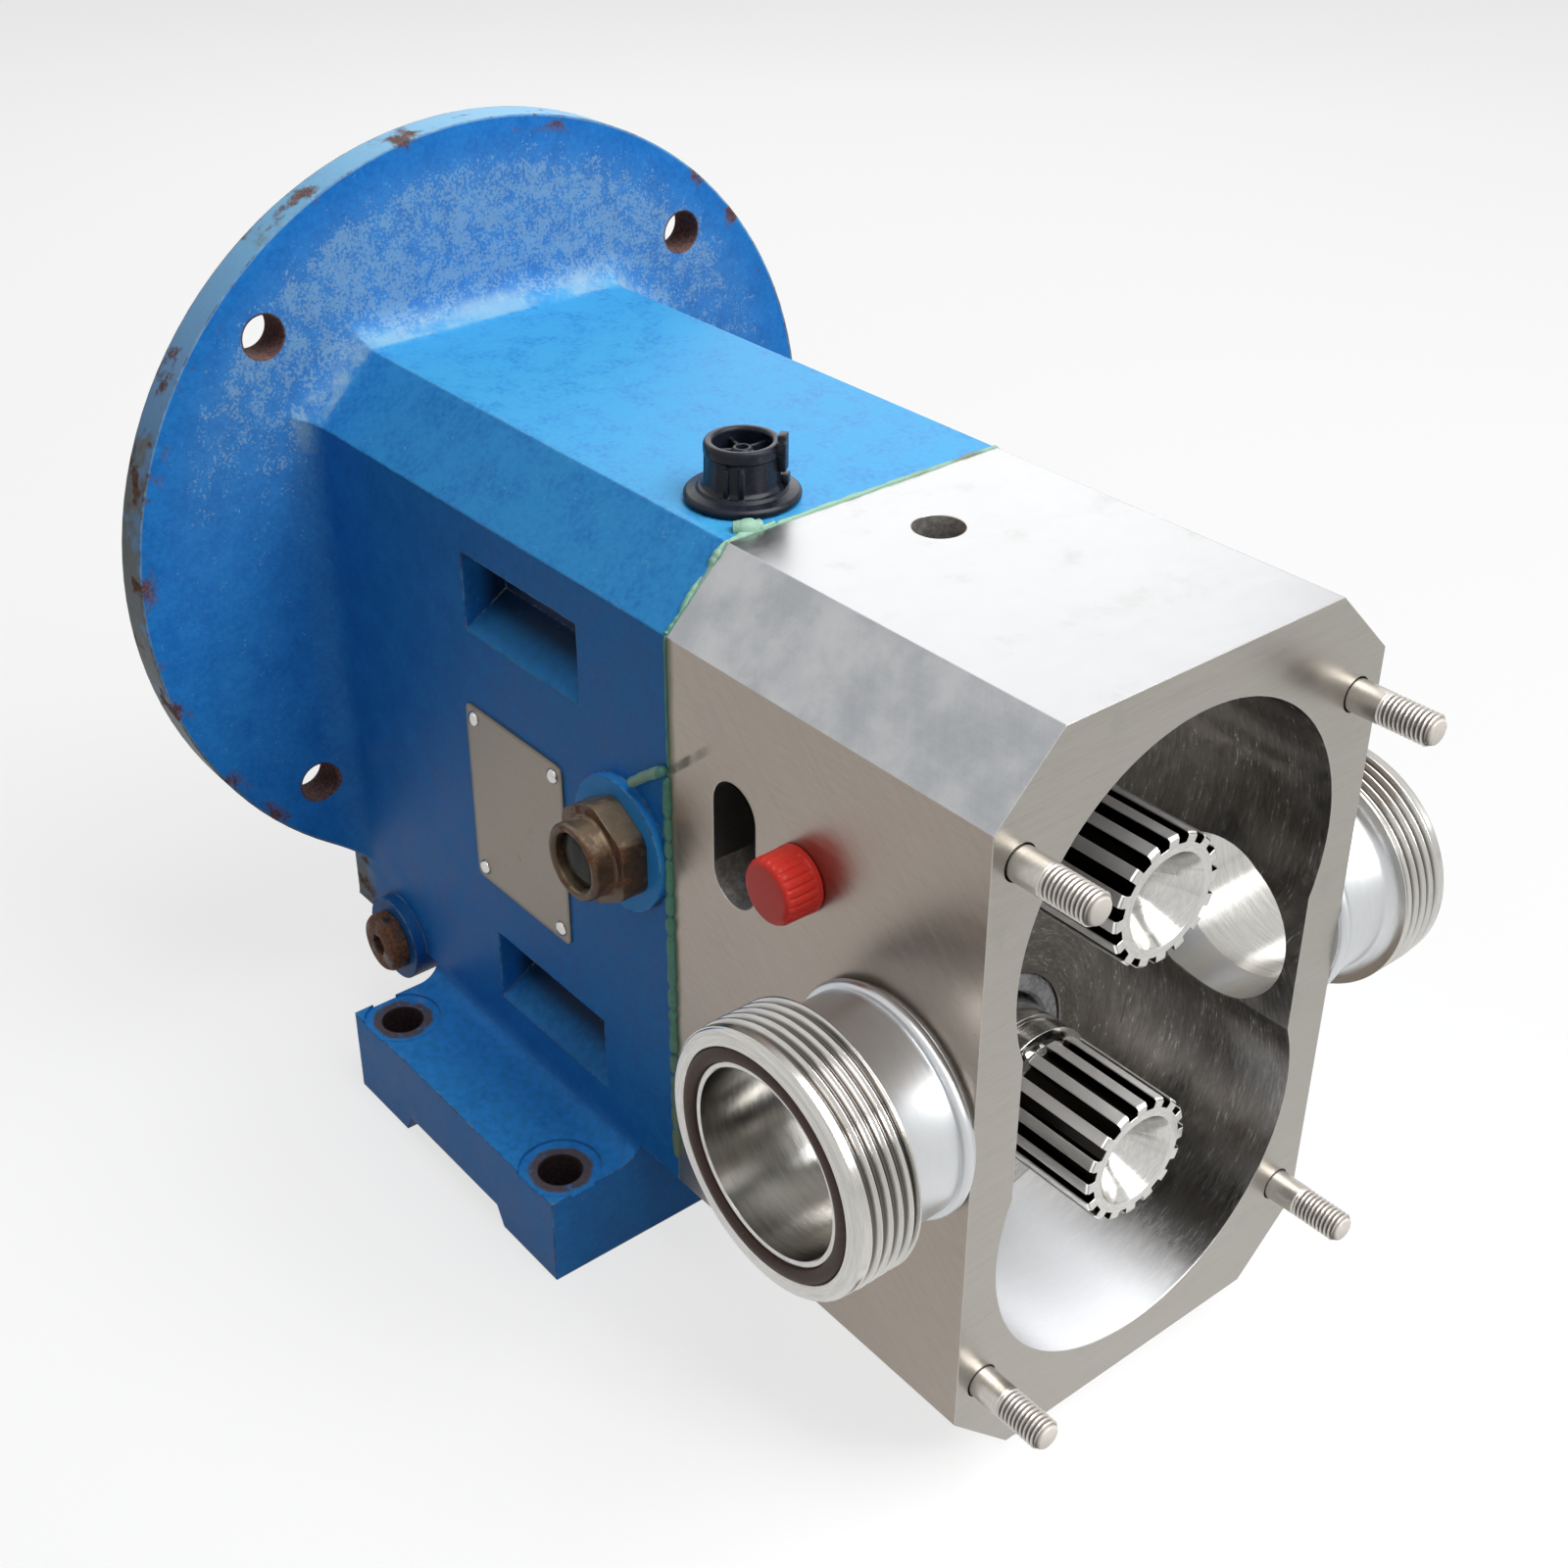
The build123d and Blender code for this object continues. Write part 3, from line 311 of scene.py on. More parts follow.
class Graph:
    """Short calls for building a node tree."""

    def __init__(self, tree):
        self.tree = tree

    def feed(self, socket, value):
        if isinstance(value, Value):
            self.tree.links.new(value.socket, socket)
        else:
            socket.default_value = value

    def add(self, kind, inputs=None, **options):
        node = self.tree.nodes.new(kind)
        for key, value in options.items():
            setattr(node, key, value)
        for key, value in (inputs or {}).items():
            self.feed(node.inputs[key], value)
        return node

    def out(self, kind, output, inputs=None, **options):
        """Add a node and return one of its outputs."""
        return Value(self, self.add(kind, inputs, **options).outputs[output])

    def math(self, operation, a, b=0.0):
        return self.out("ShaderNodeMath", 0, {0: a, 1: b}, operation=operation)

    def vector(self, operation, a, b=(0, 0, 0)):
        output = "Value" if operation in ("LENGTH", "DOT_PRODUCT") else "Vector"
        return self.out("ShaderNodeVectorMath", output, {0: a, 1: b}, operation=operation)

    def split(self, vector):
        return [Value(self, socket)
                for socket in self.add("ShaderNodeSeparateXYZ", {0: vector}).outputs]

    def join(self, x=0.0, y=0.0, z=0.0):
        return self.out("ShaderNodeCombineXYZ", 0, {0: x, 1: y, 2: z})

    def length(self, x=0.0, y=0.0, z=0.0):
        return self.vector("LENGTH", self.join(x, y, z))

    def mix(self, share, a, b):
        """Mix two colours."""
        a, b = [shade if isinstance(shade, Value) else rgba(shade) for shade in (a, b)]
        return self.out("ShaderNodeMix", 2, {0: share, 6: a, 7: b}, data_type="RGBA")

    def mix_vector(self, share, a, b):
        return self.out("ShaderNodeMix", 1, {0: share, 4: a, 5: b}, data_type="VECTOR")

    def blend(self, share, a, b):
        """Mix two numbers."""
        return self.out("ShaderNodeMix", 0, {0: share, 2: a, 3: b}, data_type="FLOAT")

    def grain(self, vector, scale, detail=2.0, rough=0.5):
        return self.out("ShaderNodeTexNoise", "Fac", {"Vector": vector, "Scale": scale,
                                                      "Detail": detail, "Roughness": rough})

    def bump(self, height, distance, strength, normal=None):
        inputs = {"Height": height, "Distance": distance, "Strength": strength}
        if normal is not None:
            inputs["Normal"] = normal
        return self.out("ShaderNodeBump", "Normal", inputs)


def empty_graph(owner):
    """The node tree of a material or world, cleared."""
    owner.use_nodes = True
    owner.node_tree.nodes.clear()
    return Graph(owner.node_tree)


OUTPUT_KINDS = {"Normal": "NodeSocketVector", "Vector": "NodeSocketVector",
                "Colour": "NodeSocketColor"}


def shader_group(name, **inputs):
    """Turn build(graph, *inputs), which returns outputs by name, into a call that places
    it as a node group, made once. An input's default of None is a linked vector."""
    def wrap(build):
        def make():
            tree = bpy.data.node_groups.new(name, "ShaderNodeTree")
            for label, default in inputs.items():
                kind = "NodeSocketFloat" if isinstance(default, float) else "NodeSocketVector"
                socket = tree.interface.new_socket(label, in_out="INPUT", socket_type=kind)
                if default is not None:
                    socket.default_value = default
            g = Graph(tree)
            start = g.add("NodeGroupInput").outputs
            made = build(g, *[Value(g, start[label]) for label in inputs])
            for label in made:
                tree.interface.new_socket(label, in_out="OUTPUT",
                                          socket_type=OUTPUT_KINDS.get(label, "NodeSocketFloat"))
            g.add("NodeGroupOutput", made)
            return tree

        def place(graph, *values):
            tree = bpy.data.node_groups.get(name) or make()
            node = graph.add("ShaderNodeGroup", dict(zip(inputs, values)), node_tree=tree)
            return SimpleNamespace(**{socket.name.lower(): Value(graph, socket)
                                      for socket in node.outputs})
        return place
    return wrap


@shader_group("Edge Wear and Highlight", Vector=None, Radius=0.001, Breakup=120.0, Amount=0.5)
def edge_wear_and_highlight(g, place, radius, breakup, amount):
    """Where edges are, broken up by noise, and a normal that rounds them. The edges serve as wear
    and as painted highlights.
    """
    rounded = g.out("ShaderNodeBevel", 0, {"Radius": radius}, samples=6)
    flat = g.out("ShaderNodeNewGeometry", "Normal")
    edge = g.vector("DOT_PRODUCT", rounded, flat).step(0.995, 0.80)
    broken = g.grain(place, breakup, 4.0, 0.65)
    threshold = 0.80 - amount * 0.55
    mask = edge * broken.step(threshold - 0.06, threshold + 0.06)
    return {"Mask": mask, "Edge": edge, "Normal": rounded}


@shader_group("Surface Grain", Vector=None, Scale=300.0)
def surface_grain(g, place, scale):
    """Even mottling in two sizes, for paint, plastic, rubber and cast skin."""
    fine = g.grain(place, scale, 3.0, 0.6)
    broad = g.grain(place, scale * 0.16, 3.0, 0.55)
    tone = g.blend(0.45, fine.step(0.30, 0.70), broad.step(0.32, 0.68))
    return {"Tone": tone, "Height": g.blend(0.3, fine, broad)}


@shader_group("Tool Lines", Vector=None, Stretch=(3000.0, 60.0, 60.0))
def tool_lines(g, place, stretch):
    """Fine lines in two sizes, across the way that is stretched most."""
    stretched = g.vector("MULTIPLY", place, stretch)
    wider = g.out("ShaderNodeVectorMath", "Vector", {0: stretched, "Scale": 0.21},
                  operation="SCALE")
    fine = g.grain(stretched, 1.0, 3.0, 0.65)
    coarse = g.grain(wider, 1.0, 2.0, 0.5)
    return {"Lines": g.blend(0.35, fine, coarse).step(0.34, 0.66), "Height": fine}


@shader_group("Turned Place", Vector=None, Centre=(0, 0, 0))
def turned_place(g, place, centre):
    """Place about an axis along X: distance along it, radius, and angle round it."""
    x, y, z = g.split(g.vector("SUBTRACT", place, centre))
    radius = g.length(0.0, y, z)
    angle = g.math("ARCTAN2", z, y)
    return {"Vector": g.join(x + radius, angle, 0.0), "Radius": radius, "Angle": angle}


@shader_group("Rust Patches", Vector=None, Scale=60.0, Amount=0.5)
def rust_patches(g, place, scale, amount):
    """Patchy rust: where it is, its colour and its crusty height."""
    patch = g.grain(place, scale, 5.0, 0.62)
    limit = 0.78 - amount * 0.56
    fine = g.grain(place, scale * 7.0, 3.0, 0.6)
    return {"Mask": patch.step(limit, limit + 0.09),
            "Colour": g.mix(fine.step(0.3, 0.7), DARK_RUST, BRIGHT_RUST), "Height": fine}


@shader_group("Flecks", Vector=None, Scale=500.0, Amount=0.5)
def small_flecks(g, place, scale, amount):
    """Small irregular flecks, from few to many by amount."""
    cells = g.grain(place, scale, 2.0, 0.75)
    clumps = g.grain(place, scale * 0.22, 2.0, 0.5)
    limit = 0.74 - amount * 0.34
    return {"Mask": g.blend(0.38, cells, clumps).step(limit, limit + 0.055)}


class Material:
    """A material under construction: its nodes, its place on the pump, and in colour
    what has been laid on so far."""

    def __init__(self, name):
        self.data = bpy.data.materials.new(name)
        self.graph = empty_graph(self.data)
        self.place = self.graph.out("ShaderNodeTexCoord", "Object")
        self.x, self.y, self.z = self.graph.split(self.place)
        self.colour = None

    def mix(self, share, a, b):
        """Start with a mix of two colours."""
        self.colour = self.graph.mix(share, a, b)

    def lay(self, share, colour):
        """Lay a colour over what is there."""
        self.colour = self.graph.mix(share, self.colour, colour)

    def facing(self):
        return self.graph.split(self.graph.out("ShaderNodeTexCoord", "Normal"))

    def grain(self, scale, detail=2.0, rough=0.5):
        return self.graph.grain(self.place, scale, detail, rough)

    def edges(self, radius, breakup, amount):
        return edge_wear_and_highlight(self.graph, self.place, radius, breakup, amount)

    def mottle(self, scale):
        return surface_grain(self.graph, self.place, scale)

    def lines(self, stretch, place=None):
        return tool_lines(self.graph, place or self.place, stretch)

    def rust(self, scale, amount):
        return rust_patches(self.graph, self.place, scale, amount)

    def flecks(self, scale, amount):
        return small_flecks(self.graph, self.place, scale, amount).mask

    def turned(self, centre, place=None):
        return turned_place(self.graph, place or self.place, centre)

    def finish(self, rough, normal, metallic=0.0, shine=0.5):
        """Add the shader and hand over the finished material."""
        surface = self.graph.out("ShaderNodeBsdfPrincipled", 0, {
            "Base Color": self.colour, "Metallic": metallic, "Roughness": rough,
            "Specular IOR Level": shine, "Normal": normal})
        self.graph.add("ShaderNodeOutputMaterial", {"Surface": surface})
        return self.data


# ---- mesh helpers ---------------------------------------------------------------------
def clamp(value):
    return min(1.0, max(0.0, value))


def evenly(start, stop, gap):
    """Places from start to stop, about a gap apart."""
    steps = int(abs(stop - start) / gap)
    return [start + step * (stop - start) / steps for step in range(steps + 1)]


def metres(points):
    """A profile given in millimetres, in metres."""
    return [(radius * MM, distance * MM) for radius, distance in points]


def outline(points, radius, steps=2, closed=False):
    """A profile given in millimetres, in metres with each corner turned into a curve."""
    points = [Vector(point) for point in metres(points)]
    result = []
    count = len(points)
    for index, here in enumerate(points):
        if not closed and index in (0, count - 1):
            result.append(tuple(here))
            continue
        before = points[index - 1] - here
        after = points[(index + 1) % count] - here
        reach = min(radius * MM, 0.45 * before.length, 0.45 * after.length)
        start = here + before.normalized() * reach
        end = here + after.normalized() * reach
        for step in range(steps + 1):
            t = step / steps
            result.append(tuple(start * (1 - t) ** 2 + here * 2 * t * (1 - t) + end * t ** 2))
    return result


def lathe(profile, matrix, segments=64, shape=None, closed=False, bm=None):
    """Turn a profile of (radius, distance) points about the matrix's Z axis.
    shape(radius, distance, angle) may change the radius. An open profile starts and
    ends on the axis."""
    bm = bm or bmesh.new()
    rings = []
    for index in range(segments):
        angle = tau * index / segments
        ring = []
        for radius, distance in profile:
            if shape is not None:
                radius = shape(radius, distance, angle)
            spot = Vector((radius * cos(angle), radius * sin(angle), distance))
            ring.append(bm.verts.new(matrix @ spot))
        rings.append(ring)
    last = len(profile) if closed else len(profile) - 1
    for index in range(segments):
        ring, following = rings[index], rings[(index + 1) % segments]
        for low in range(last):
            high = (low + 1) % len(profile)
            bm.faces.new((ring[low], following[low], following[high], ring[high]))
    return bm


def add_block(bm, matrix, turn, size, place, bevel):
    """A small moulded block, turned by some degrees about the matrix's Z axis, with its
    sizes and place in millimetres."""
    size = [length * MM for length in size]
    matrix = matrix @ Matrix.Rotation(radians(turn), 4, "Z") @ Matrix.Translation(
        [distance * MM for distance in place])
    made = bmesh.ops.create_cube(bm, size=1.0, matrix=matrix @ Matrix.Diagonal((*size, 1.0)))
    edges = {edge for vert in made["verts"] for edge in vert.link_edges}
    bmesh.ops.bevel(bm, geom=list(edges), offset=bevel * MM, segments=2, profile=0.5,
                    affect="EDGES")


def tube(route, radii, across=12):
    """A closed bead along a route, with its own radius at every point."""
    bm = bmesh.new()
    rings = []
    for index, spot in enumerate(route):
        following = route[min(index + 1, len(route) - 1)]
        ahead = (following - route[max(index - 1, 0)]).normalized()
        side = ahead.cross(Vector((0, 0, 1)))
        side = side.normalized() if side.length > 1e-6 else ahead.orthogonal().normalized()
        rise = side.cross(ahead).normalized()
        ring = []
        for step in range(across):
            angle = tau * step / across
            ring.append(bm.verts.new(spot + (side * cos(angle) + rise * sin(angle)) * radii[index]))
        rings.append(ring)
    for low, high in zip(rings, rings[1:]):
        for step in range(across):
            other = (step + 1) % across
            bm.faces.new((low[step], low[other], high[other], high[step]))
    bm.faces.new(list(reversed(rings[0])))
    bm.faces.new(rings[-1])
    return bm


def placed(x, y, z, direction):
    """Matrix whose Z axis points along a direction."""
    turn = Vector((0, 0, 1)).rotation_difference(Vector(direction)).to_matrix().to_4x4()
    return Matrix.Translation((x, y, z)) @ turn


def clean_mesh(bm, name, sharp=38):
    """Clean normals, and smooth shading with crisp corners above some degrees."""
    bmesh.ops.remove_doubles(bm, verts=bm.verts, dist=1e-7)
    bmesh.ops.recalc_face_normals(bm, faces=bm.faces)
    mesh = bpy.data.meshes.new(name)
    bm.to_mesh(mesh)
    bm.free()
    mesh.shade_smooth()
    mesh.set_sharp_from_angle(angle=radians(sharp))
    return mesh


def add_object(name, data):
    """A new object that is in the scene."""
    item = bpy.data.objects.new(name, data)
    bpy.context.scene.collection.objects.link(item)
    return item


def put(name, bm, material, replaces=None, sharp=38):
    """Add a piece, let it ride on the housing and hide the node it stands for."""
    piece = add_object(name, clean_mesh(bm, name, sharp))
    piece.data.materials.append(material)
    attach(piece, "housing")
    if replaces:
        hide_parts(replaces)
    return piece


def dress(material, *nodes):
    """Give CAD nodes a material."""
    for node in nodes:
        for material_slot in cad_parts[node].material_slots:
            material_slot.material = material


# ---- materials ------------------------------------------------------------------------
def folded(m, centre_z, offset_y, offset_z):
    """Distance across X from the nearest of four places mirrored about the middle."""
    return m.graph.length(0.0, abs(m.y) - offset_y, abs(m.z - centre_z) - offset_z)


class Paint(Material):
    """Blue paint on cast iron, chalky, chipped and rusty where it has been handled."""

    def __init__(self, look):
        super().__init__("Worn Blue Paint")
        g, x, y, z = self.graph, self.x, self.y, self.z
        self.look = look
        self.upward = self.facing()[2]
        self.mottling = self.mottle(430.0)
        self.wear = self.edges(1.6 * MM, 190.0, look.wear)
        self.radial = g.length(0.0, y, z - DRIVE_HEIGHT)
        self.on_flange = x.past(FLANGE_FRONT, 16, 1)
        self.foot_hole = g.length(abs(x) - FOOT_HOLE_X, abs(y) - FOOT_HOLE_Y, 0.0)
        self.pocket = (abs(y).past(HALF_WIDTH, -0.3, -0.8) * x.band(*POCKET_X, 1 * MM)
                       * (z.band(*LOWER_POCKET_Z, 1 * MM) | z.band(*UPPER_POCKET_Z, 1 * MM)))
        self.mix(self.mottling.tone, look.colour, look.pale)
        self.painted_top_light()
        self.chalk()
        self.bosses()
        self.scuffs()
        self.rim()
        self.chips()
        self.holes()
        self.iron()

    def painted_top_light(self):
        """Painted light: lighter paint on upward faces, more so higher up, and bright blue on the
        upward faces of the pockets and the foot.
        """
        lift = self.z.step(FOOT_TOP + 20 * MM, FOOT_TOP + 80 * MM, 0.45, 1.0)
        # painted light: upward faces lighter, more so higher up
        lit_top = self.upward.step(0.45, 1.0) * self.mottling.tone.step(-0.6, 0.8) * lift
        self.lay(lit_top, self.look.lit_top)
        foot = self.z.past(FOOT_TOP, 30, 0)
        # painted light: bright blue on the upward faces of the pockets and the foot
        lit_slopes = self.upward.step(0.45, 0.70) * (self.pocket | foot)
        dapple = self.grain(240.0, 4.0, 0.7).step(0.34, 0.66, 0.25, 0.95)
        self.lay(lit_slopes * dapple, LIT_SLOPE_BLUE)

    def chalk(self):
        """Chalky flecks on the flange, thickest above the body, and a worn fillet."""
        ring = self.radial.within(0, 108, 148, 26)
        height = self.z.step(DRIVE_HEIGHT - 20 * MM, DRIVE_HEIGHT + 120 * MM, 0.10, 1.0)
        flecks = self.flecks(720.0, 0.20 + ring * height * 0.62)
        haze = self.on_flange * ring * height * 0.10
        self.lay(self.on_flange * flecks * 0.42 | haze, self.look.chalk)
        fillet = self.x.within(FLANGE_FRONT, 3, 9, 2.6)
        upper = self.z.past(CENTRE_HEIGHT, 85, 135)
        rub = self.grain(55.0, 5.0, 0.65).step(0.38, 0.60)
        self.lay(fillet * upper * rub * 0.45, self.look.chalk)

    def from_axis(self, centre):
        """Distance from an axis along Y."""
        return self.graph.length(self.x - centre.x, 0.0, self.z - centre.z)

    def bosses(self):
        """Lighter blue on the boss of the sight glass, dirt by the drain, and painted shade deep in
        the pockets and on faces turned downward.
        """
        raised = self.y.past(-HALF_WIDTH, -0.2, -1.2)
        # lighter blue over the raised boss round the sight glass
        boss_light = self.from_axis(SIGHT_CENTRE).past(0, 28, 27) * raised
        self.lay(boss_light * 0.9, BOSS_LIGHT_BLUE)
        grubby = self.from_axis(DRAIN_CENTRE).past(0, 24, 20) * self.y.past(-HALF_WIDTH, 1, -1)
        self.lay(grubby * 0.6, GRUBBY_BLUE)
        # painted shade: deep in the pockets and on faces turned downward
        deep = self.pocket * abs(self.y).past(HALF_WIDTH, -5, -14)
        underneath = self.upward.step(-0.25, -0.65)
        self.lay(deep * 0.93 | underneath * 0.7, SHADE_BLUE)

    def scuffs(self):
        """Specks all over, and grey scuffs where the foot meets the body."""
        self.lay(self.flecks(900.0, 0.34) * 0.26, self.look.chalk)
        drawn_out = self.graph.vector("MULTIPLY", self.place, (0.5, 1.0, 1.0))
        scuffs = self.graph.grain(drawn_out, 70.0, 5.0, 0.7).step(0.60, 0.70)
        foot_root = (self.z.past(FOOT_TOP, 14, 2) * self.z.past(FOOT_TOP, -4, -1)
                     * self.x.past(0, -20, -70) * abs(self.y).past(0, 112, 98))
        self.lay(scuffs * foot_root * 0.8, GREY_SCUFF)

    def rim(self):
        """Faded rim of the flange, with dirt in patches, most of it low down."""
        rim = self.on_flange * self.radial.past(FLANGE_RADIUS, -1.2, -0.4)
        low_down = self.z.past(DRIVE_HEIGHT, 120, 20)
        patches = self.rust(34.0, 0.30 + low_down * 0.40)
        self.lay(rim * 0.35, self.look.chalk)
        dirt = self.graph.mix(self.mottling.tone, OLIVE_DIRT, PALE_DIRT)
        self.lay(rim * patches.mask * 0.85, dirt)

    def chips(self):
        """Worn and rusty edges, but not round the foot's holes."""
        self.rusty = self.rust(95.0, 0.46)
        by_hole = self.foot_hole.past(0, 21, 19) * self.z.past(0, 70, 60)
        away_from_hole = 1.0 - by_hole
        self.lay(self.wear.mask * away_from_hole * 0.62, self.look.chalk)
        near_rim = self.radial.past(FLANGE_RADIUS, -9, -2)
        on_rim = near_rim * self.on_flange * self.rust(48.0, 0.42).mask
        self.chipped = on_rim | self.wear.edge * self.rusty.mask * away_from_hole
        self.lay(self.chipped * 0.9, self.rusty.colour)

    def holes(self):
        """Rusty bolt holes, brown rings round those of the foot, and painted shade inside the
        foot's holes.
        """
        flange_hole = folded(self, DRIVE_HEIGHT, FLANGE_HOLE_OFFSET, FLANGE_HOLE_OFFSET)
        in_flange_hole = self.on_flange * flange_hole.past(0, 10.4, 9.6)
        on_top = self.z.within(FOOT_TOP, -2.2, 0, 0.6)
        in_foot_hole = self.foot_hole.past(0, 9.6, 9.2) * self.z.past(FOOT_TOP, 1, 0)
        wobble = (self.grain(90.0, 3.0) - 0.5) * (5 * MM)
        spot = (on_top * (self.foot_hole + wobble).past(0, 14.2, 12.0)
                * self.grain(150.0, 4.0, 0.65).step(0.26, 0.50)) * 0.80
        self.holed = in_flange_hole | (spot | in_foot_hole)
        self.lay(self.holed * 0.92, self.rusty.colour)
        self.lay(spot * 0.80, OLIVE_RUST)
        # painted shade: near black inside the foot's bolt holes
        self.lay(in_foot_hole * 0.75, HOLE_SHADE_BLACK)

    def iron(self):
        """Machined faces are bare iron."""
        rear = self.x.past(FLANGE_REAR, 0.5, 0.2)
        spigot = (self.radial.past(SPIGOT_RADIUS, 0.2, -0.2)
                  * self.x.past(FLANGE_REAR + SPIGOT_DEPTH, 0.3, 0.1))
        front = self.x.past(JOINT, -0.4, -0.1)
        base = self.z.past(0, 0.4, 0.1)
        self.bare = (rear | spigot) | (front | base)
        iron = self.graph.mix(self.rust(80.0, 0.42).mask, self.look.iron, self.rusty.colour)
        self.lay(self.bare, iron)

    def finished(self):
        g = self.graph
        rough = g.blend(self.chipped | self.holed, 0.40 + self.mottling.tone * 0.14, 0.85)
        height = g.blend(0.75, self.mottling.height, self.grain(150.0, 3.0))
        normal = g.bump(height, 0.35 * MM, 0.55, self.wear.normal)
        return self.finish(rough, normal, self.bare * 0.7, 0.16)


class Stainless(Material):
    """Ground stainless block: brushed outside, turned rotor chamber, sealant smears."""

    def __init__(self, look):
        super().__init__("Ground Stainless Block")
        self.wear = self.edges(0.7 * MM, 90.0, 0.9)
        self.normals = self.facing()
        self.chamber = self.in_chamber()
        self.brushed = self.lines((160.0, 160.0, 2600.0))
        slanted = self.graph.vector("ADD", self.place, self.graph.join(0.0, 0.0, self.x))
        self.scratches = self.lines((70.0, 70.0, 1500.0), slanted)
        self.outside(look)
        self.inside()
        self.cuts()
        self.smears()

    def in_chamber(self):
        """Mask of the chamber: a circle round each shaft and the waist between them."""
        above = self.graph.math("GREATER_THAN", self.z, CENTRE_HEIGHT)
        centre_z = self.graph.blend(above, DRIVEN_HEIGHT, DRIVE_HEIGHT)
        round_shaft = self.turned(self.graph.join(0.0, 0.0, centre_z))
        self.turning = self.lines((2300.0, 9.0, 1.0), round_shaft.vector)
        self.streaks = self.lines((900.0, 14.0, 1.0), round_shaft.vector)
        in_front = self.x.past(CHAMBER_REAR, -0.6, -0.2)
        in_width = abs(self.y).past(CHAMBER_RADIUS, 0.7, 0.2)
        behind_face = self.x.past(OPEN_END, -0.1, -0.3)
        circle = round_shaft.radius.past(CHAMBER_RADIUS, 0.7, 0.3)
        waist = (abs(self.y).past(WAIST_Y, 0.6, 0.2)
                 * abs(self.z - CENTRE_HEIGHT).past(WAIST_Z, 0.6, 0.2))
        return in_front * in_width * behind_face * (circle | waist)

    def outside(self, look):
        """Ground faces, each with its own tone of painted light and shade by the way it faces,
        brushed and stained.
        """
        to_front, to_side, upward = self.normals
        broad = self.grain(16.0, 4.0, 0.6)
        cloud = self.grain(34.0, 5.0, 0.6).step(0.35, 0.65)
        self.mix(broad.step(0.30, 0.70), look.case, DULL_STEEL)
        # painted shade: darker sides of the case
        self.lay(abs(to_side).step(0.80, 0.95), look.side)
        # painted reflection: a cool sheen on the sloped chamfers
        on_slope = upward.step(0.45, 0.65) * upward.step(0.95, 0.80)
        self.lay(on_slope, self.graph.mix(cloud, SLOPE_SHEEN_DARK, SLOPE_SHEEN_LIGHT))
        # painted reflection: a cool tint on the top faces
        self.lay(upward.step(0.97, 0.99), TOP_FACE_SHEEN)
        # painted shade: darker front face
        self.lay(to_front.step(0.80, 0.95), FRONT_FACE_SHADE)
        self.tone = self.graph.blend(0.5, self.brushed.lines, self.scratches.lines)
        self.lay(self.tone * 0.16, BRUSHED_LIGHT)
        self.lay(self.grain(38.0, 5.0, 0.7).step(0.56, 0.72) * 0.22, STEEL_STAIN)

    def inside(self):
        """Turned walls of the chamber, with a painted pale light on its floor."""
        self.inner_tone = self.turning.lines * self.streaks.lines
        self.floor = (self.normals[2].step(0.35, 0.95) * self.y.past(0, 52, 6)
                      * self.z.step(CENTRE_HEIGHT, 80 * MM))
        inner = self.graph.mix(self.inner_tone, CUT_DARK, CUT_LIGHT)
        # painted light: pale floor of the chamber
        inner = self.graph.mix(self.floor * 0.85, inner, CHAMBER_FLOOR_LIGHT)
        self.lay(self.chamber, inner)

    def cuts(self):
        """Rougher rim of the side slot and rougher top hole, both lightened as painted light, and
        painted highlights on the edges.
        """
        in_slot = (self.x.band(*SLOT_X, 0.2 * MM) * self.z.band(*SLOT_RIM_Z, 0.2 * MM)
                   * self.y.past(-HALF_WIDTH, 0.2, 0.6) * self.y.past(0, -66, -80))
        from_hole = self.graph.length(self.x - TOP_HOLE_X, self.y, 0.0)
        in_top = (from_hole.past(TOP_HOLE_RADIUS, 0.3, 0.1)
                  * self.z.past(TOP, -0.3, -0.8) * self.z.past(TOP, -40, -30))
        self.drilled = in_slot | in_top
        # painted light: the pitted rim of the slot and the wall of the top hole lightened
        pitted = self.graph.mix(self.grain(420.0, 4.0, 0.7).step(0.40, 0.62), PITTED_DARK,
                                PITTED_GLINT)
        self.lay(self.drilled * 0.7, pitted)
        at_seam = self.x.within(CHAMBER_REAR, -1.2, 1.2, 0.4)
        self.clear = 1.0 - at_seam * (1.0 - self.chamber)
        # painted highlight along the edges of the case
        self.lay(self.wear.edge * self.clear * 0.45, EDGE_HIGHLIGHT)

    def smears(self):
        """Green sealant dragged on to the near side beside the joint."""
        near_side = self.y.past(CASE_LOW.y, 0.4, 0.1)
        from_joint = self.x - BLOCK_REAR
        drag_line = self.z - (STRAND_HEIGHT + from_joint * 0.86)
        drag = (drag_line.within(0, -1.2, 1.2, 1.6) * self.x.past(BLOCK_REAR, 30, 2)
                * self.grain(120.0, 3.0).step(0.25, 0.6))
        hem_width = 2.2 * MM + self.grain(60.0, 3.0) * (4 * MM)
        hem = from_joint.step(hem_width, 0.0) * self.z.past(0, 60, 110)
        self.smear = near_side * (drag | hem * 0.75)
        self.lay(self.smear * 0.75, SMEARED_GREEN)

    def finished(self):
        g = self.graph
        rough_inner = 0.15 + self.inner_tone * 0.16 + self.floor * 0.34
        rough = g.blend(self.chamber, 0.27 + self.tone * 0.10, rough_inner)
        rough = g.blend(self.smear | self.drilled, rough, 0.6)
        height = g.blend(self.chamber,
                         g.blend(0.5, self.brushed.height, self.scratches.height),
                         g.blend(0.4, self.turning.height, self.streaks.height))
        flat = g.out("ShaderNodeNewGeometry", "Normal")
        rounded = g.mix_vector(self.clear, flat, self.wear.normal)
        metal = 1.0 - (self.smear | self.chamber * self.floor * 0.75)
        return self.finish(rough, g.bump(height, 0.06 * MM, 0.30, rounded), metal)


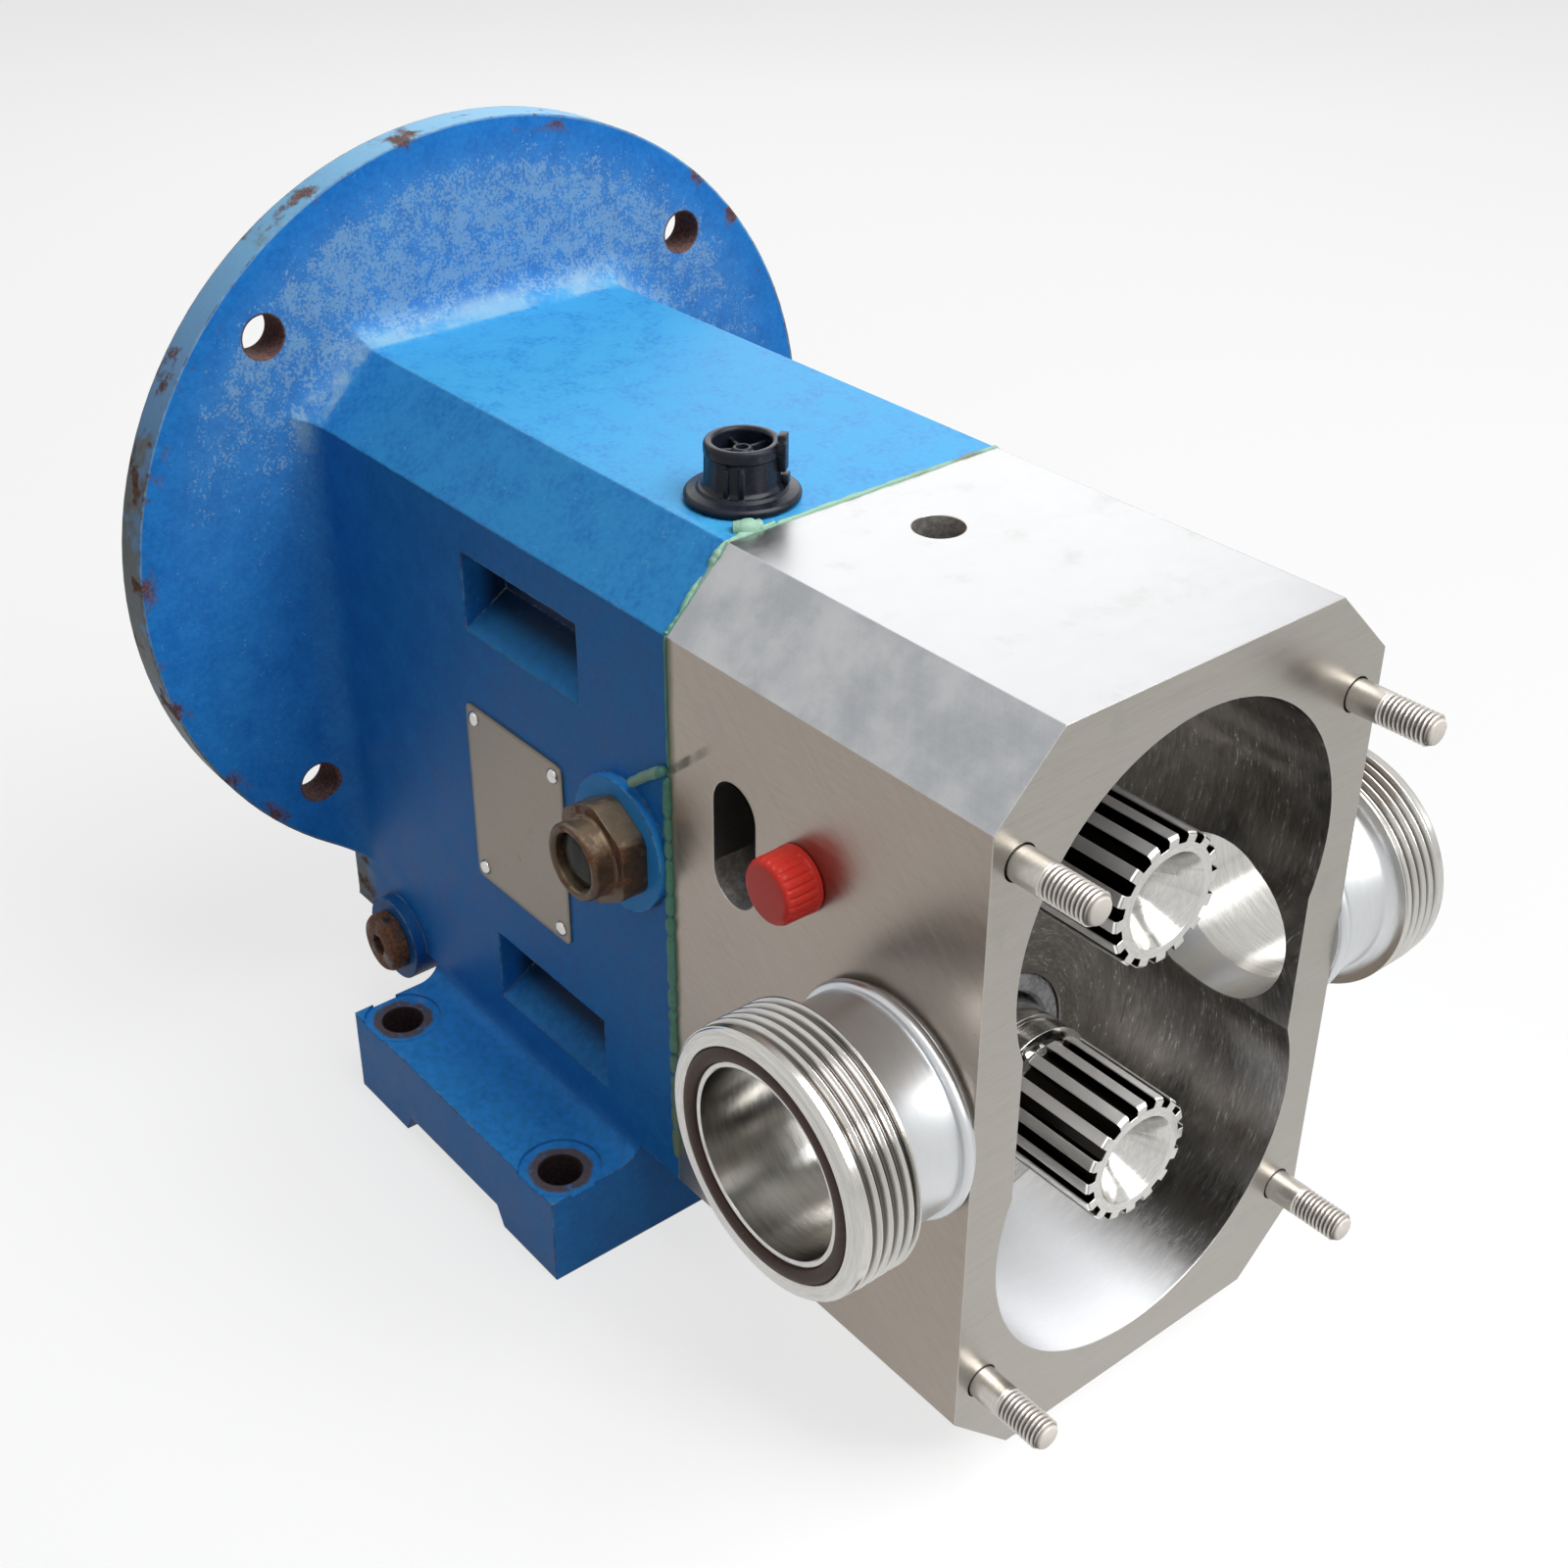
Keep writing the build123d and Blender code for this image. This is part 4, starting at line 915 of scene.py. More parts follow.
def turned_metal(name, colour, centre, swap=False, rough=0.16, pitch=2600.0, grime=0.0,
                 detail=None):
    """Turned and polished metal. swap turns about Y instead of X. detail(m, rough, radius,
    along) may change the finish by radius and by place along the axis."""
    m = Material(name)
    g = m.graph
    place = m.place
    if swap:
        place, centre = g.join(m.y, m.x, m.z), (centre[1], centre[0], centre[2])
    round_axis = m.turned(centre, place)
    lines = m.lines((pitch, 5.0, 1.0), round_axis.vector)
    haze = m.grain(45.0, 4.0, 0.6)
    edges = m.edges(0.4 * MM, 160.0, 0.9)
    m.mix(lines.lines, scaled(colour, 0.80), colour)
    m.lay(haze.step(0.52, 0.75) * 0.25, scaled(colour, 0.6))
    # painted highlight along the edges
    m.lay(edges.edge * 0.35, TURNED_EDGE_HIGHLIGHT)
    if grime:
        m.lay(m.flecks(420.0, grime) * 0.7, BROWN_GRIME)
    rough = rough + g.blend(0.5, lines.lines, haze) * 0.10
    if detail is not None:
        rough = detail(m, rough, round_axis.radius, g.split(place)[0])
    return m.finish(rough, g.bump(lines.height, 0.03 * MM, 0.5, edges.normal), 1.0)


def port_detail(m, rough, radius, along):
    """Darker in the valleys of the thread, and a painted sheen on the neck behind it."""
    away = abs(along)
    valley = (radius.past(COLLAR_RADIUS, -0.7, -1.9) * radius.past(COLLAR_RADIUS, -5, -4)
              * away.past(COLLAR_ROOT, 0, 1) * away.past(PORT_FACE, -2.2, -3.2))
    # darker in the valleys of the thread
    m.lay(valley * 0.9, THREAD_VALLEY_DARK)
    neck = radius.past(PORT_NECK, -2, -1) * away.past(COLLAR_ROOT, 0, -1)
    # painted reflection: lighter bluish neck
    m.lay(neck * 0.7, NECK_SHEEN)
    return rough + neck * 0.15


def spline_detail(m, rough, radius, along):
    """Black painted shade in the grooves between splines, and a painted sheen on their crowns."""
    on_splines = along.band(*SPLINE_X, 0.3 * MM)
    crown = on_splines * radius.past(SPLINE_RADIUS, -0.7, -0.2)
    groove = (on_splines * radius.past(SPLINE_RADIUS, -0.4, -1.0)
              * radius.past(SPLINE_RADIUS, -4.6, -4.0))
    # painted reflection: bright crowns of the splines
    m.lay(crown, SPLINE_CROWN_SHEEN)
    # painted shade: black grooves between the splines
    m.lay(groove, SPLINE_GROOVE_SHADE)
    return rough + crown * 0.30


def stud_material():
    """Warm turned steel with dirt in the bottom of the thread."""
    m = Material("Turned Stud Steel")
    g = m.graph
    depth = folded(m, CENTRE_HEIGHT, STUD_Y, STUD_Z)
    valley = depth.past(STUD_RADIUS, -0.25, -0.95)
    dirt = valley * m.x.past(OPEN_END, 11, 13) * 0.85
    mottle = m.mottle(700.0)
    lines = m.lines((2600.0, 40.0, 40.0))
    edges = m.edges(0.25 * MM, 300.0, 0.9)
    m.mix(lines.lines * 0.5, settings().metal.stud, STUD_LINES)
    m.lay(mottle.tone * 0.25, STUD_TAN)
    m.lay(dirt, STUD_DIRT)
    # painted highlight on the edges and the ends of the studs
    end = m.x.past(STUDS_HIGH.x, -1.2, -0.2)
    m.lay(edges.edge * 0.3 | end * 0.6, STUD_END)
    rough = g.blend(dirt | end * 0.6, 0.28 + mottle.tone * 0.16, 0.6)
    return m.finish(rough, g.bump(lines.height, 0.05 * MM, 0.5, edges.normal), 1.0 - dirt)


def plain_surface(name, colour, light, rough, scale, bump, edge=0.5 * MM, shine=0.5,
                  metallic=0.0, specks=0.0, speck_colour=GREY_DUST):
    """Moulded, cast or rubber surface with mottling, a painted highlight on its edges and dust
    specks.
    """
    m = Material(name)
    mottle = m.mottle(scale)
    edges = m.edges(edge, 260.0, 0.6)
    m.mix(mottle.tone, colour, light)
    # painted highlight along the edges
    m.lay(edges.edge * 0.5, [min(1.0, 1.6 * value + 0.015) for value in light])
    if specks:
        m.lay(m.flecks(650.0, specks) * 0.5, speck_colour)
    normal = m.graph.bump(mottle.height, bump, 0.6, edges.normal)
    return m.finish(rough + mottle.tone * 0.14, normal, metallic, shine)


def corroded_material(name, colour, amount, metallic=0.75, scale=120.0, upward=None):
    """Old metal with rust and grime over it, and a painted lighter tint on upward faces."""
    m = Material(name)
    g = m.graph
    mottle = m.mottle(380.0)
    rust = m.rust(scale, amount)
    edges = m.edges(0.6 * MM, 300.0, 0.8)
    m.mix(mottle.tone, scaled(colour, 0.65), colour)
    m.lay(rust.mask, rust.colour)
    # painted light: lighter tint on upward faces
    if upward is not None:
        m.lay(m.facing()[2].step(0.45, 0.80, 0.0, 0.8), upward)
    worn = edges.edge * (1.0 - rust.mask * 0.6) * 0.45
    m.lay(worn, [min(1.0, 2.1 * value) for value in colour])
    rough = g.blend(rust.mask, 0.38 + mottle.tone * 0.15, 0.8)
    height = g.blend(rust.mask, mottle.height, rust.height)
    metal = g.math("MULTIPLY", metallic, 1.0 - rust.mask)
    return m.finish(rough, g.bump(height, 0.25 * MM, 0.6, edges.normal), metal)


def glass_material():
    """Old sight window: dark, oily and scratched, still glossy."""
    m = Material("Oily Sight Glass")
    mottle = m.mottle(500.0)
    m.mix(mottle.tone, OIL_DARK, OIL_LIGHT)
    m.lay((m.x - SIGHT_CENTRE.x).within(0, -2.2, 2.2, 0.8), BAR_BLACK)
    return m.finish(0.16 + mottle.tone * 0.15, m.graph.bump(mottle.height, 0.05 * MM, 0.4),
                    shine=0.08)


def sealant_material():
    """Green joint sealant: dried, skinned over, chalky in places and oily low down."""
    m = Material("Green Joint Sealant")
    green = settings().trim.sealant
    mottle = m.mottle(330.0)
    m.mix(mottle.tone, scaled(green, 0.62), green)
    on_top = m.z.past(TOP, -28, -8)
    strand = m.x.past(JOINT, -2, -4) * m.y.step(-0.5 * HALF_WIDTH, -0.9 * HALF_WIDTH)
    m.lay((on_top | strand) * 0.75, PALE_SEALANT)
    m.lay(m.z.past(0, 130, 90) * 0.65, OILY_SEALANT)
    far_side = m.y.past(0, -20, 50)
    m.lay(far_side * m.grain(60.0, 3.0).step(0.35, 0.6) * 0.7, OLIVE_SEALANT)
    return m.finish(0.38 + mottle.tone * 0.25, m.graph.bump(mottle.height, 0.3 * MM, 0.7))


def plate_material():
    """Dull grimy aluminium plate with dirt along its border."""
    m = Material("Grimy Nameplate")
    g = m.graph
    colour = settings().metal.plate
    centre, half = (PLATE_LOW + PLATE_HIGH) / 2, (PLATE_HIGH - PLATE_LOW) / 2
    from_border = g.math("MINIMUM", half.x - abs(m.x - centre.x), half.z - abs(m.z - centre.z))
    mottle = m.mottle(240.0)
    lines = m.lines((260.0, 260.0, 2200.0))
    edges = m.edges(0.3 * MM, 200.0, 0.7)
    m.mix(mottle.tone, scaled(colour, 0.85), colour)
    m.lay(lines.lines * 0.15, PLATE_LINES)
    m.lay(from_border.past(0, 2.4, 0.2) * 0.5, PLATE_DIRT)
    m.lay(m.flecks(260.0, 0.28) * 0.35, PLATE_BLOTS)
    height = g.blend(0.5, mottle.height, lines.height)
    normal = g.bump(height, 0.08 * MM, 0.5, edges.normal)
    return m.finish(0.42 + mottle.tone * 0.14, normal, 0.55)


# ---- operators ------------------------------------------------------------------------
class FinishOperator:
    """What the operators share."""
    bl_options = {"REGISTER", "UNDO"}


class PUMP_OT_stage(FinishOperator, bpy.types.Operator):
    """Floor, soft lamps, white surroundings and the camera"""
    bl_idname = "pump.stage"
    bl_label = "Stage"

    def execute(self, context):
        scene = context.scene
        stage = scene.lobe_pump_finish.stage
        scene.view_settings.view_transform = "Standard"
        self.world(scene, stage)
        self.floor(stage)
        pump, chamber = (0.0, 0.0, CENTRE_HEIGHT), (OPEN_END, -0.02, 0.07)
        for lamp in (
                ("Key Lamp", (0.86, 0.40, 2.05), (1.5, 1.5), stage.key_power, pump, pi),
                ("Back Lamp", (-1.35, 1.05, 1.15), (1.7, 1.2), stage.back_power, pump, pi),
                ("Side Lamp", (1.75, 1.25, 1.35), (1.2, 1.2), stage.side_power, pump, pi),
                ("Chamber Lamp", (0.80, 0.12, 0.52), (0.25, 0.25), stage.chamber_power,
                 chamber, radians(44))):
            self.lamp(*lamp)
        self.camera(scene, stage)
        return {"FINISHED"}

    def world(self, scene, stage):
        world = bpy.data.worlds.new("White Surroundings")
        g = empty_graph(world)
        shade = g.mix(self.seen(g), (stage.room,) * 3, (1.0, 1.0, 1.0))
        background = g.out("ShaderNodeBackground", 0, {"Color": shade, "Strength": 1.0})
        g.add("ShaderNodeOutputWorld", {"Surface": background})
        scene.world = world

    def seen(self, g):
        """1 for rays that show the background: direct, mirrored or through glass."""
        path = g.add("ShaderNodeLightPath").outputs
        camera, mirror, glass = [Value(g, path[label]) for label in
                                 ("Is Camera Ray", "Is Glossy Ray", "Is Transmission Ray")]
        return camera | (mirror | glass)

    def floor(self, stage):
        bm = bmesh.new()
        bmesh.ops.create_grid(bm, x_segments=8, y_segments=8, size=6.0)
        floor = add_object("floor", clean_mesh(bm, "floor"))
        floor.location = (0.0, 0.0, HOUSING_LOW.z - 0.2 * MM)
        material = bpy.data.materials.new("Pale Floor")
        g = empty_graph(material)
        seen = self.seen(g)
        grain = g.grain(g.out("ShaderNodeTexCoord", "Object"), 40.0, 3.0)
        pale = g.mix(grain * 0.06, stage.floor, (0.74, 0.74, 0.74))
        shade = g.mix(seen, (0.26, 0.26, 0.26), pale)
        matt = g.out("ShaderNodeBsdfDiffuse", 0, {"Color": shade})
        bright = g.out("ShaderNodeEmission", 0, {"Color": (1, 1, 1, 1), "Strength": 1.0})
        surface = g.out("ShaderNodeMixShader", 0, {0: seen * 0.72, 1: matt, 2: bright})
        g.add("ShaderNodeOutputMaterial", {"Surface": surface})
        floor.data.materials.append(material)

    def lamp(self, name, place, size, power, target, spread):
        data = bpy.data.lights.new(name, "AREA")
        data.shape = "RECTANGLE"
        data.size, data.size_y = size
        data.energy = power
        data.spread = spread
        lamp = add_object(name, data)
        lamp.location = place
        aim = Vector(target) - Vector(place)
        lamp.rotation_euler = aim.to_track_quat("-Z", "Y").to_euler()
        lamp.visible_camera = False

    def camera(self, scene, stage):
        data = bpy.data.cameras.new("Camera")
        data.sensor_width = 36.0
        data.lens = stage.lens
        data.shift_x, data.shift_y = 0.0545, -0.0327
        data.clip_start, data.clip_end = 0.01, 50.0
        back = -Vector(stage.aim).normalized()
        side = Vector((0, 0, 1)).cross(back).normalized()
        rise = back.cross(side)
        turned_side = side * cos(stage.roll) + rise * sin(stage.roll)
        turned_rise = back.cross(turned_side)
        scene.camera = add_object("Camera", data)
        scene.camera.matrix_world = Matrix.Translation(stage.camera) @ Matrix(
            (turned_side, turned_rise, back)).transposed().to_4x4()


class PUMP_OT_housing(FinishOperator, bpy.types.Operator):
    """Paint the gearbox casting and finish what is bolted inside it"""
    bl_idname = "pump.housing"
    bl_label = "Gearbox Housing"

    def execute(self, context):
        look = context.scene.lobe_pump_finish
        dress(Paint(look.paint).finished(), "gearbox_housing")
        dress(plain_surface("Machined Carrier Iron", (0.17, 0.17, 0.175), (0.26, 0.26, 0.26),
                            0.35, 260.0, 0.1 * MM, metallic=0.8), "bearing_carrier")
        dress(plain_surface("Black Oxide Screws", (0.035, 0.035, 0.038), (0.075, 0.075, 0.08),
                            0.38, 500.0, 0.05 * MM, metallic=0.7), "carrier_screws")
        return {"FINISHED"}


class PUMP_OT_case(FinishOperator, bpy.types.Operator):
    """Finish the stainless rotor case"""
    bl_idname = "pump.rotor_case"
    bl_label = "Rotor Case"

    def execute(self, context):
        look = context.scene.lobe_pump_finish
        dress(Stainless(look.metal).finished(), "rotor_case", "seal_housing")
        return {"FINISHED"}


class PUMP_OT_ports(FinishOperator, bpy.types.Operator):
    """Screwed ports with round threads, weld rings and rubber face rings"""
    bl_idname = "pump.ports"
    bl_label = "Ports"

    def execute(self, context):
        look = context.scene.lobe_pump_finish
        steel = turned_metal("Polished Fitting Steel", look.metal.fitting, PORT_CENTRE,
                             swap=True, rough=0.13, detail=port_detail)
        rubber = plain_surface("Brown Port Rubber", look.trim.rubber, (0.085, 0.045, 0.033),
                               0.50, 420.0, 0.15 * MM, shine=0.35, specks=0.24)
        for side, name in ((-1, "inlet"), (1, "outlet")):
            matrix = placed(PORT_CENTRE.x, 0, PORT_CENTRE.z, (0, side, 0))
            collar = lathe(self.profile(), matrix, 168, self.thread(look.thread), closed=True)
            put(f"{name}_port_collar", collar, steel, f"{name}_port", 42)
            ring = lathe(self.ring_profile(), matrix, 96, closed=True)
            put(f"{name}_port_ring", ring, rubber, f"{name}_port_seal")
        return {"FINISHED"}

    def profile(self):
        """Half section from the bore round the face, thread, neck and weld ring."""
        face, collar, root, crest, neck, bore = [size / MM for size in (
            PORT_FACE, COLLAR_ROOT, PORT_ROOT, COLLAR_RADIUS, PORT_NECK, PORT_BORE)]
        groove_low, groove_high = 35.5, 40.5
        front = [(bore, root), (bore, face - 1.6), (bore + 0.6, face - 1.0),
                 (groove_low - 0.6, face - 1.0), (groove_low, face - 1.5),
                 (groove_low, face - 4), (groove_high, face - 4), (groove_high, face - 0.6),
                 (groove_high + 0.6, face), (crest - 3.2, face), (crest - 1.7, face - 0.6),
                 (crest - 0.9, face - 1.9)]
        threaded = [(crest, distance) for distance in evenly(face - 2.0, collar, 0.24)]
        back = [(crest - 2.6, collar - 0.2), (neck + 1.4, collar - 1.2), (neck, collar - 3.0),
                (neck, root + 6.2)]
        weld = [(neck + 2.6 * sin(pi * step / 8) ** 0.8, root + 3.4 + 2.4 * cos(pi * step / 8))
                for step in range(9)]
        foot = [(neck + 0.6, root + 0.5), (neck + 0.6, root)]
        return metres(front + threaded + back + weld + foot)

    def thread(self, thread):
        """Round thread that runs out at both ends of the collar."""
        def shape(radius, distance, angle):
            if abs(radius - COLLAR_RADIUS) > 1e-6:
                return radius
            fade_in = clamp((PORT_FACE - 4.6 * MM - distance) / (1.5 * MM))
            fade_out = clamp((distance - COLLAR_ROOT - 0.5 * MM) / (0.8 * MM))
            wave = 0.5 - 0.5 * cos(tau * (distance / thread.port_pitch) - angle)
            land = 0.55 * MM * (1 - fade_in)
            return radius - thread.port_depth * wave ** 0.9 * fade_in * fade_out - land
        return shape

    def ring_profile(self):
        """Rubber ring with a rounded crown, a little proud of the face."""
        low, high, face = 35.6, 40.4, PORT_FACE / MM
        crown = [((low + high) / 2 + (high - low) / 2 * cos(pi * step / 8),
                  face - 0.6 + 1.1 * sin(pi * step / 8)) for step in range(9)]
        return metres([(low, face - 3.9), (high, face - 3.9)] + crown)


class PUMP_OT_studs(FinishOperator, bpy.types.Operator):
    """Four cover studs with a plain shank, a cut thread and a bevelled end"""
    bl_idname = "pump.studs"
    bl_label = "Cover Studs"

    def execute(self, context):
        look = context.scene.lobe_pump_finish
        bm = bmesh.new()
        for y in (-STUD_Y, STUD_Y):
            for z in (-STUD_Z, STUD_Z):
                matrix = placed(0, y, CENTRE_HEIGHT + z, (1, 0, 0))
                lathe(self.profile(), matrix, 48, self.thread(look.thread), bm=bm)
        put("threaded_studs", bm, stud_material(), "cover_studs", 50)
        return {"FINISHED"}

    def profile(self):
        """Half section along the axis, with places enough for the thread."""
        rear, face, front, radius, shank = [size / MM for size in (
            STUDS_LOW.x, OPEN_END, STUDS_HIGH.x, STUD_RADIUS, STUD_SHANK)]
        threaded = [(radius, distance) for distance in evenly(face, front - 1.6, 0.21)]
        return metres([(0.0, rear), (shank, rear), (shank, face), *threaded,
                       (radius - 1.1, front - 0.9), (radius - 1.5, front - 0.25),
                       (radius - 2.0, front), (0.0, front)])

    def thread(self, thread):
        start = OPEN_END + thread.stud_plain
        stop = STUDS_HIGH.x - 1.6 * MM

        def shape(radius, distance, angle):
            if abs(radius - STUD_RADIUS) > 1e-6 or distance < start or distance > stop:
                return radius
            fade = min(1.0, (distance - start) / (1.6 * MM))
            phase = (distance / thread.stud_pitch - angle / tau) % 1.0
            tooth = abs(2 * phase - 1)
            cut = clamp((0.92 - tooth) / 0.80)
            return radius - thread.stud_depth * cut * fade
        return shape


class PUMP_OT_breather(FinishOperator, bpy.types.Operator):
    """Black moulded breather with an open ribbed barrel and a broken latch"""
    bl_idname = "pump.breather"
    bl_label = "Breather"

    def execute(self, context):
        look = context.scene.lobe_pump_finish
        black = plain_surface("Black Moulded Plastic", look.trim.vent, (0.014, 0.017, 0.028),
                              0.22, 360.0, 0.12 * MM, edge=0.6 * MM, shine=0.22, specks=0.18,
                              speck_colour=(0.10, 0.10, 0.11))
        centre = middle("breather_plug")
        matrix = placed(centre.x, centre.y, TOP, (0, 0, 1))
        shell = outline([(0.0, -14), (8.2, -14), (9.0, -13), (9.0, 0.3), (20.2, 0.3),
                         (21.0, 1.2), (21.0, 2.6), (20.0, 3.5), (16.4, 4.2), (16.0, 5.0),
                         (14.6, 5.4), (13.4, 6.6), (13.2, 17.0), (13.8, 17.5), (13.8, 20.6),
                         (13.2, 21.8), (12.2, 22.0), (11.0, 21.8), (10.4, 21.0), (10.4, 11.0),
                         (9.8, 10.2), (0.0, 10.0)], 0.35)
        post = outline([(0.0, 10.0), (4.6, 10.0), (4.2, 11.5), (3.9, 18.2), (3.2, 19.0),
                        (2.2, 19.1), (2.0, 16.5), (0.0, 16.3)], 0.3)
        bm = lathe(shell, matrix, 72, self.flutes)
        lathe(post, matrix, 32, bm=bm)
        for angle in (20, 92, 164, 236, 308):
            add_block(bm, matrix, angle, (6.6, 1.5, 8.5), (7.0, 0, 14.2), 0.3)
        # broken tab in two blocks, its root, and the ribs that guided it
        add_block(bm, matrix, 38, (3.0, 5.4, 13.5), (14.5, 0, 18.4), 0.5)
        add_block(bm, matrix, 38, (3.4, 2.4, 4.5), (14.7, -3.4, 21.0), 0.4)
        add_block(bm, matrix, 38, (2.6, 4.4, 4.0), (15.0, 2.2, 7.6), 0.4)
        for angle in (-62, -40):
            add_block(bm, matrix, angle, (2.4, 1.8, 11.0), (13.9, 0, 10.4), 0.4)
        put("breather_moulding", bm, black, "breather_plug")
        return {"FINISHED"}

    def flutes(self, radius, distance, angle):
        """Shallow flutes round the barrel, a smooth flange below."""
        if radius <= 12.9 * MM or not 6.4 * MM < distance < 17.2 * MM:
            return radius
        return radius + 0.45 * MM * max(0.0, cos(9 * angle)) ** 6


def from_flat(angle):
    """How far an angle is from the middle of the nearest flat of a hexagon."""
    return (angle + pi / 6) % (pi / 3) - pi / 6


class PUMP_OT_sight_glass(FinishOperator, bpy.types.Operator):
    """Bronze sight fitting with a round collar, its window and the disc behind"""
    bl_idname = "pump.sight_glass"
    bl_label = "Sight Glass"

    def execute(self, context):
        look = context.scene.lobe_pump_finish
        # painted light: the upward tint lightens the fitting's upward faces
        bronze = corroded_material("Tarnished Bronze", look.metal.bronze, 0.50,
                                   upward=(0.24, 0.180, 0.115))
        boss = -HALF_WIDTH - 4 * MM
        matrix = placed(SIGHT_CENTRE.x, boss, SIGHT_CENTRE.z, (0, -1, 0))
        body = outline([(8.5, -16), (13, -16), (13, 0), (22.0, 0), (22.0, 11), (16.2, 11),
                        (15.5, 12.0), (15.5, 19.2), (14.6, 20.4), (12.6, 20.4), (11.6, 19.4),
                        (11.6, 14.0), (8.5, 14.0)], 0.5, closed=True)
        put("sight_fitting", lathe(body, matrix, 96, self.hexagon, closed=True), bronze,
            "sight_glass_body")
        window = outline([(0.0, 13.9), (11.4, 13.9), (11.4, 16.2), (10.6, 17.0), (7.0, 17.6),
                          (0.0, 17.9)], 0.3)
        put("sight_window", lathe(window, matrix), glass_material(),
            "sight_glass_lens")
        dress(plain_surface("Stained White Disc", (0.30, 0.27, 0.22), (0.45, 0.42, 0.36), 0.5,
                            300.0, 0.1 * MM), "sight_glass_reflector")
        return {"FINISHED"}

    def hexagon(self, radius, distance, angle):
        """Six flats, rounded off at both ends as a turned hexagon is."""
        if not -0.5 * MM < distance < 11.2 * MM or radius < 17 * MM:
            return radius
        to_flat, to_corner = 19.05 * MM, 22 * MM
        end = min(distance, 11 * MM - distance)
        limit = to_corner - max(0.0, 1.6 * MM - end) * 0.9
        return min(to_flat / cos(from_flat(angle)), limit, radius)


class PUMP_OT_drain(FinishOperator, bpy.types.Operator):
    """Rusty drain plug with a domed head and a hexagon socket"""
    bl_idname = "pump.drain_plug"
    bl_label = "Drain Plug"

    def execute(self, context):
        rusty = corroded_material("Rusty Plug Steel", (0.085, 0.068, 0.058), 0.66, 0.5, 90.0)
        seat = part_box("drain_plug")[0].y + 8.5 * MM
        matrix = placed(DRAIN_CENTRE.x, seat, DRAIN_CENTRE.z, (0, -1, 0))
        head = outline([(0.0, -13), (9.2, -13), (10, -12), (10, 0.0), (14.0, 0.0), (14.0, 5.6),
                        (12.6, 7.8), (9.0, 8.5), (5.4, 8.5), (5.0, 8.0), (5.0, 2.8),
                        (0.0, 2.2)], 0.5, 3)
        put("drain_plug_head", lathe(head, matrix, 72, self.socket), rusty,
            "drain_plug")
        return {"FINISHED"}

    def socket(self, radius, distance, angle):
        """Six flats in the wall of the socket, turned a little from upright."""
        if not 4.2 * MM < radius < 5.6 * MM or distance < 2.0 * MM:
            return radius
        return radius * 0.92 / cos(from_flat(angle + 0.4))


class PUMP_OT_nameplate(FinishOperator, bpy.types.Operator):
    """Blank nameplate and its four domed rivets"""
    bl_idname = "pump.nameplate"
    bl_label = "Nameplate"

    def execute(self, context):
        dress(plate_material(), "nameplate")
        bright = turned_metal("Bright Rivet Steel", (0.66, 0.64, 0.61), (0, 0, 0), rough=0.18,
                              grime=0.2)
        inset = 6 * MM
        bm = bmesh.new()
        for x in (PLATE_LOW.x + inset, PLATE_HIGH.x - inset):
            for z in (PLATE_LOW.z + inset, PLATE_HIGH.z - inset):
                lathe(self.dome(), placed(x, PLATE_LOW.y, z, (0, -1, 0)), 28, bm=bm)
        put("domed_rivets", bm, bright, "nameplate_rivets", 60)
        return {"FINISHED"}

    def dome(self):
        """Half section of a rivet's head: a low skirt and a quarter round."""
        radius, height, skirt = 3.3, 1.9, 0.35
        return metres([(0.0, 0.0), (radius, 0.0), (radius, skirt)] + [
            (radius * cos(pi * step / 16), skirt + (height - skirt) * sin(pi * step / 16))
            for step in range(1, 9)])


class PUMP_OT_flush_plug(FinishOperator, bpy.types.Operator):
    """Red protective plug with ribs round its side"""
    bl_idname = "pump.flush_plug"
    bl_label = "Red Plug"

    def execute(self, context):
        look = context.scene.lobe_pump_finish
        red = plain_surface("Red Moulded Plastic", look.trim.cap, (0.80, 0.060, 0.040), 0.30,
                            420.0, 0.12 * MM, edge=0.7 * MM, shine=0.25, specks=0.16,
                            speck_colour=(0.30, 0.05, 0.04))
        centre = middle("flush_port_plug")
        matrix = placed(centre.x, -HALF_WIDTH, centre.z, (0, -1, 0))
        cap = outline([(0.0, -9.5), (4.6, -9.5), (5.0, -9.0), (5.0, 0.15), (12.3, 0.15),
                       (12.3, 2.2), (12.1, 2.6), (12.0, 12.6), (11.2, 14.2), (9.8, 15.0),
                       (0.0, 15.0)], 0.6, 4)
        count = look.thread.cap_ribs
        plug = lathe(self.dense(cap), matrix, 8 * count, self.ribs(count))
        put("ribbed_plug", plug, red, "flush_port_plug")
        return {"FINISHED"}

    def dense(self, points):
        """Extra points along the ribbed side, so that the ribs end softly."""
        result = []
        for start, end in zip(points, points[1:]):
            on_side = abs(end[1] - start[1]) > 4 * MM and start[0] > 10 * MM
            for step in range(8 if on_side else 1):
                result.append(tuple(Vector(start).lerp(Vector(end), step / 8)))
        return result + [points[-1]]

    def ribs(self, count):
        """Soft grooves along the side, which leave the ribs between them."""
        def shape(radius, distance, angle):
            if radius < 10.6 * MM or distance < 2.4 * MM:
                return radius
            fade = min(clamp((distance - 2.4 * MM) / (0.8 * MM)),
                       clamp((14.4 * MM - distance) / (1.4 * MM)))
            groove = max(0.0, cos(count * angle)) ** 2
            return radius - 0.65 * MM * groove * fade
        return shape


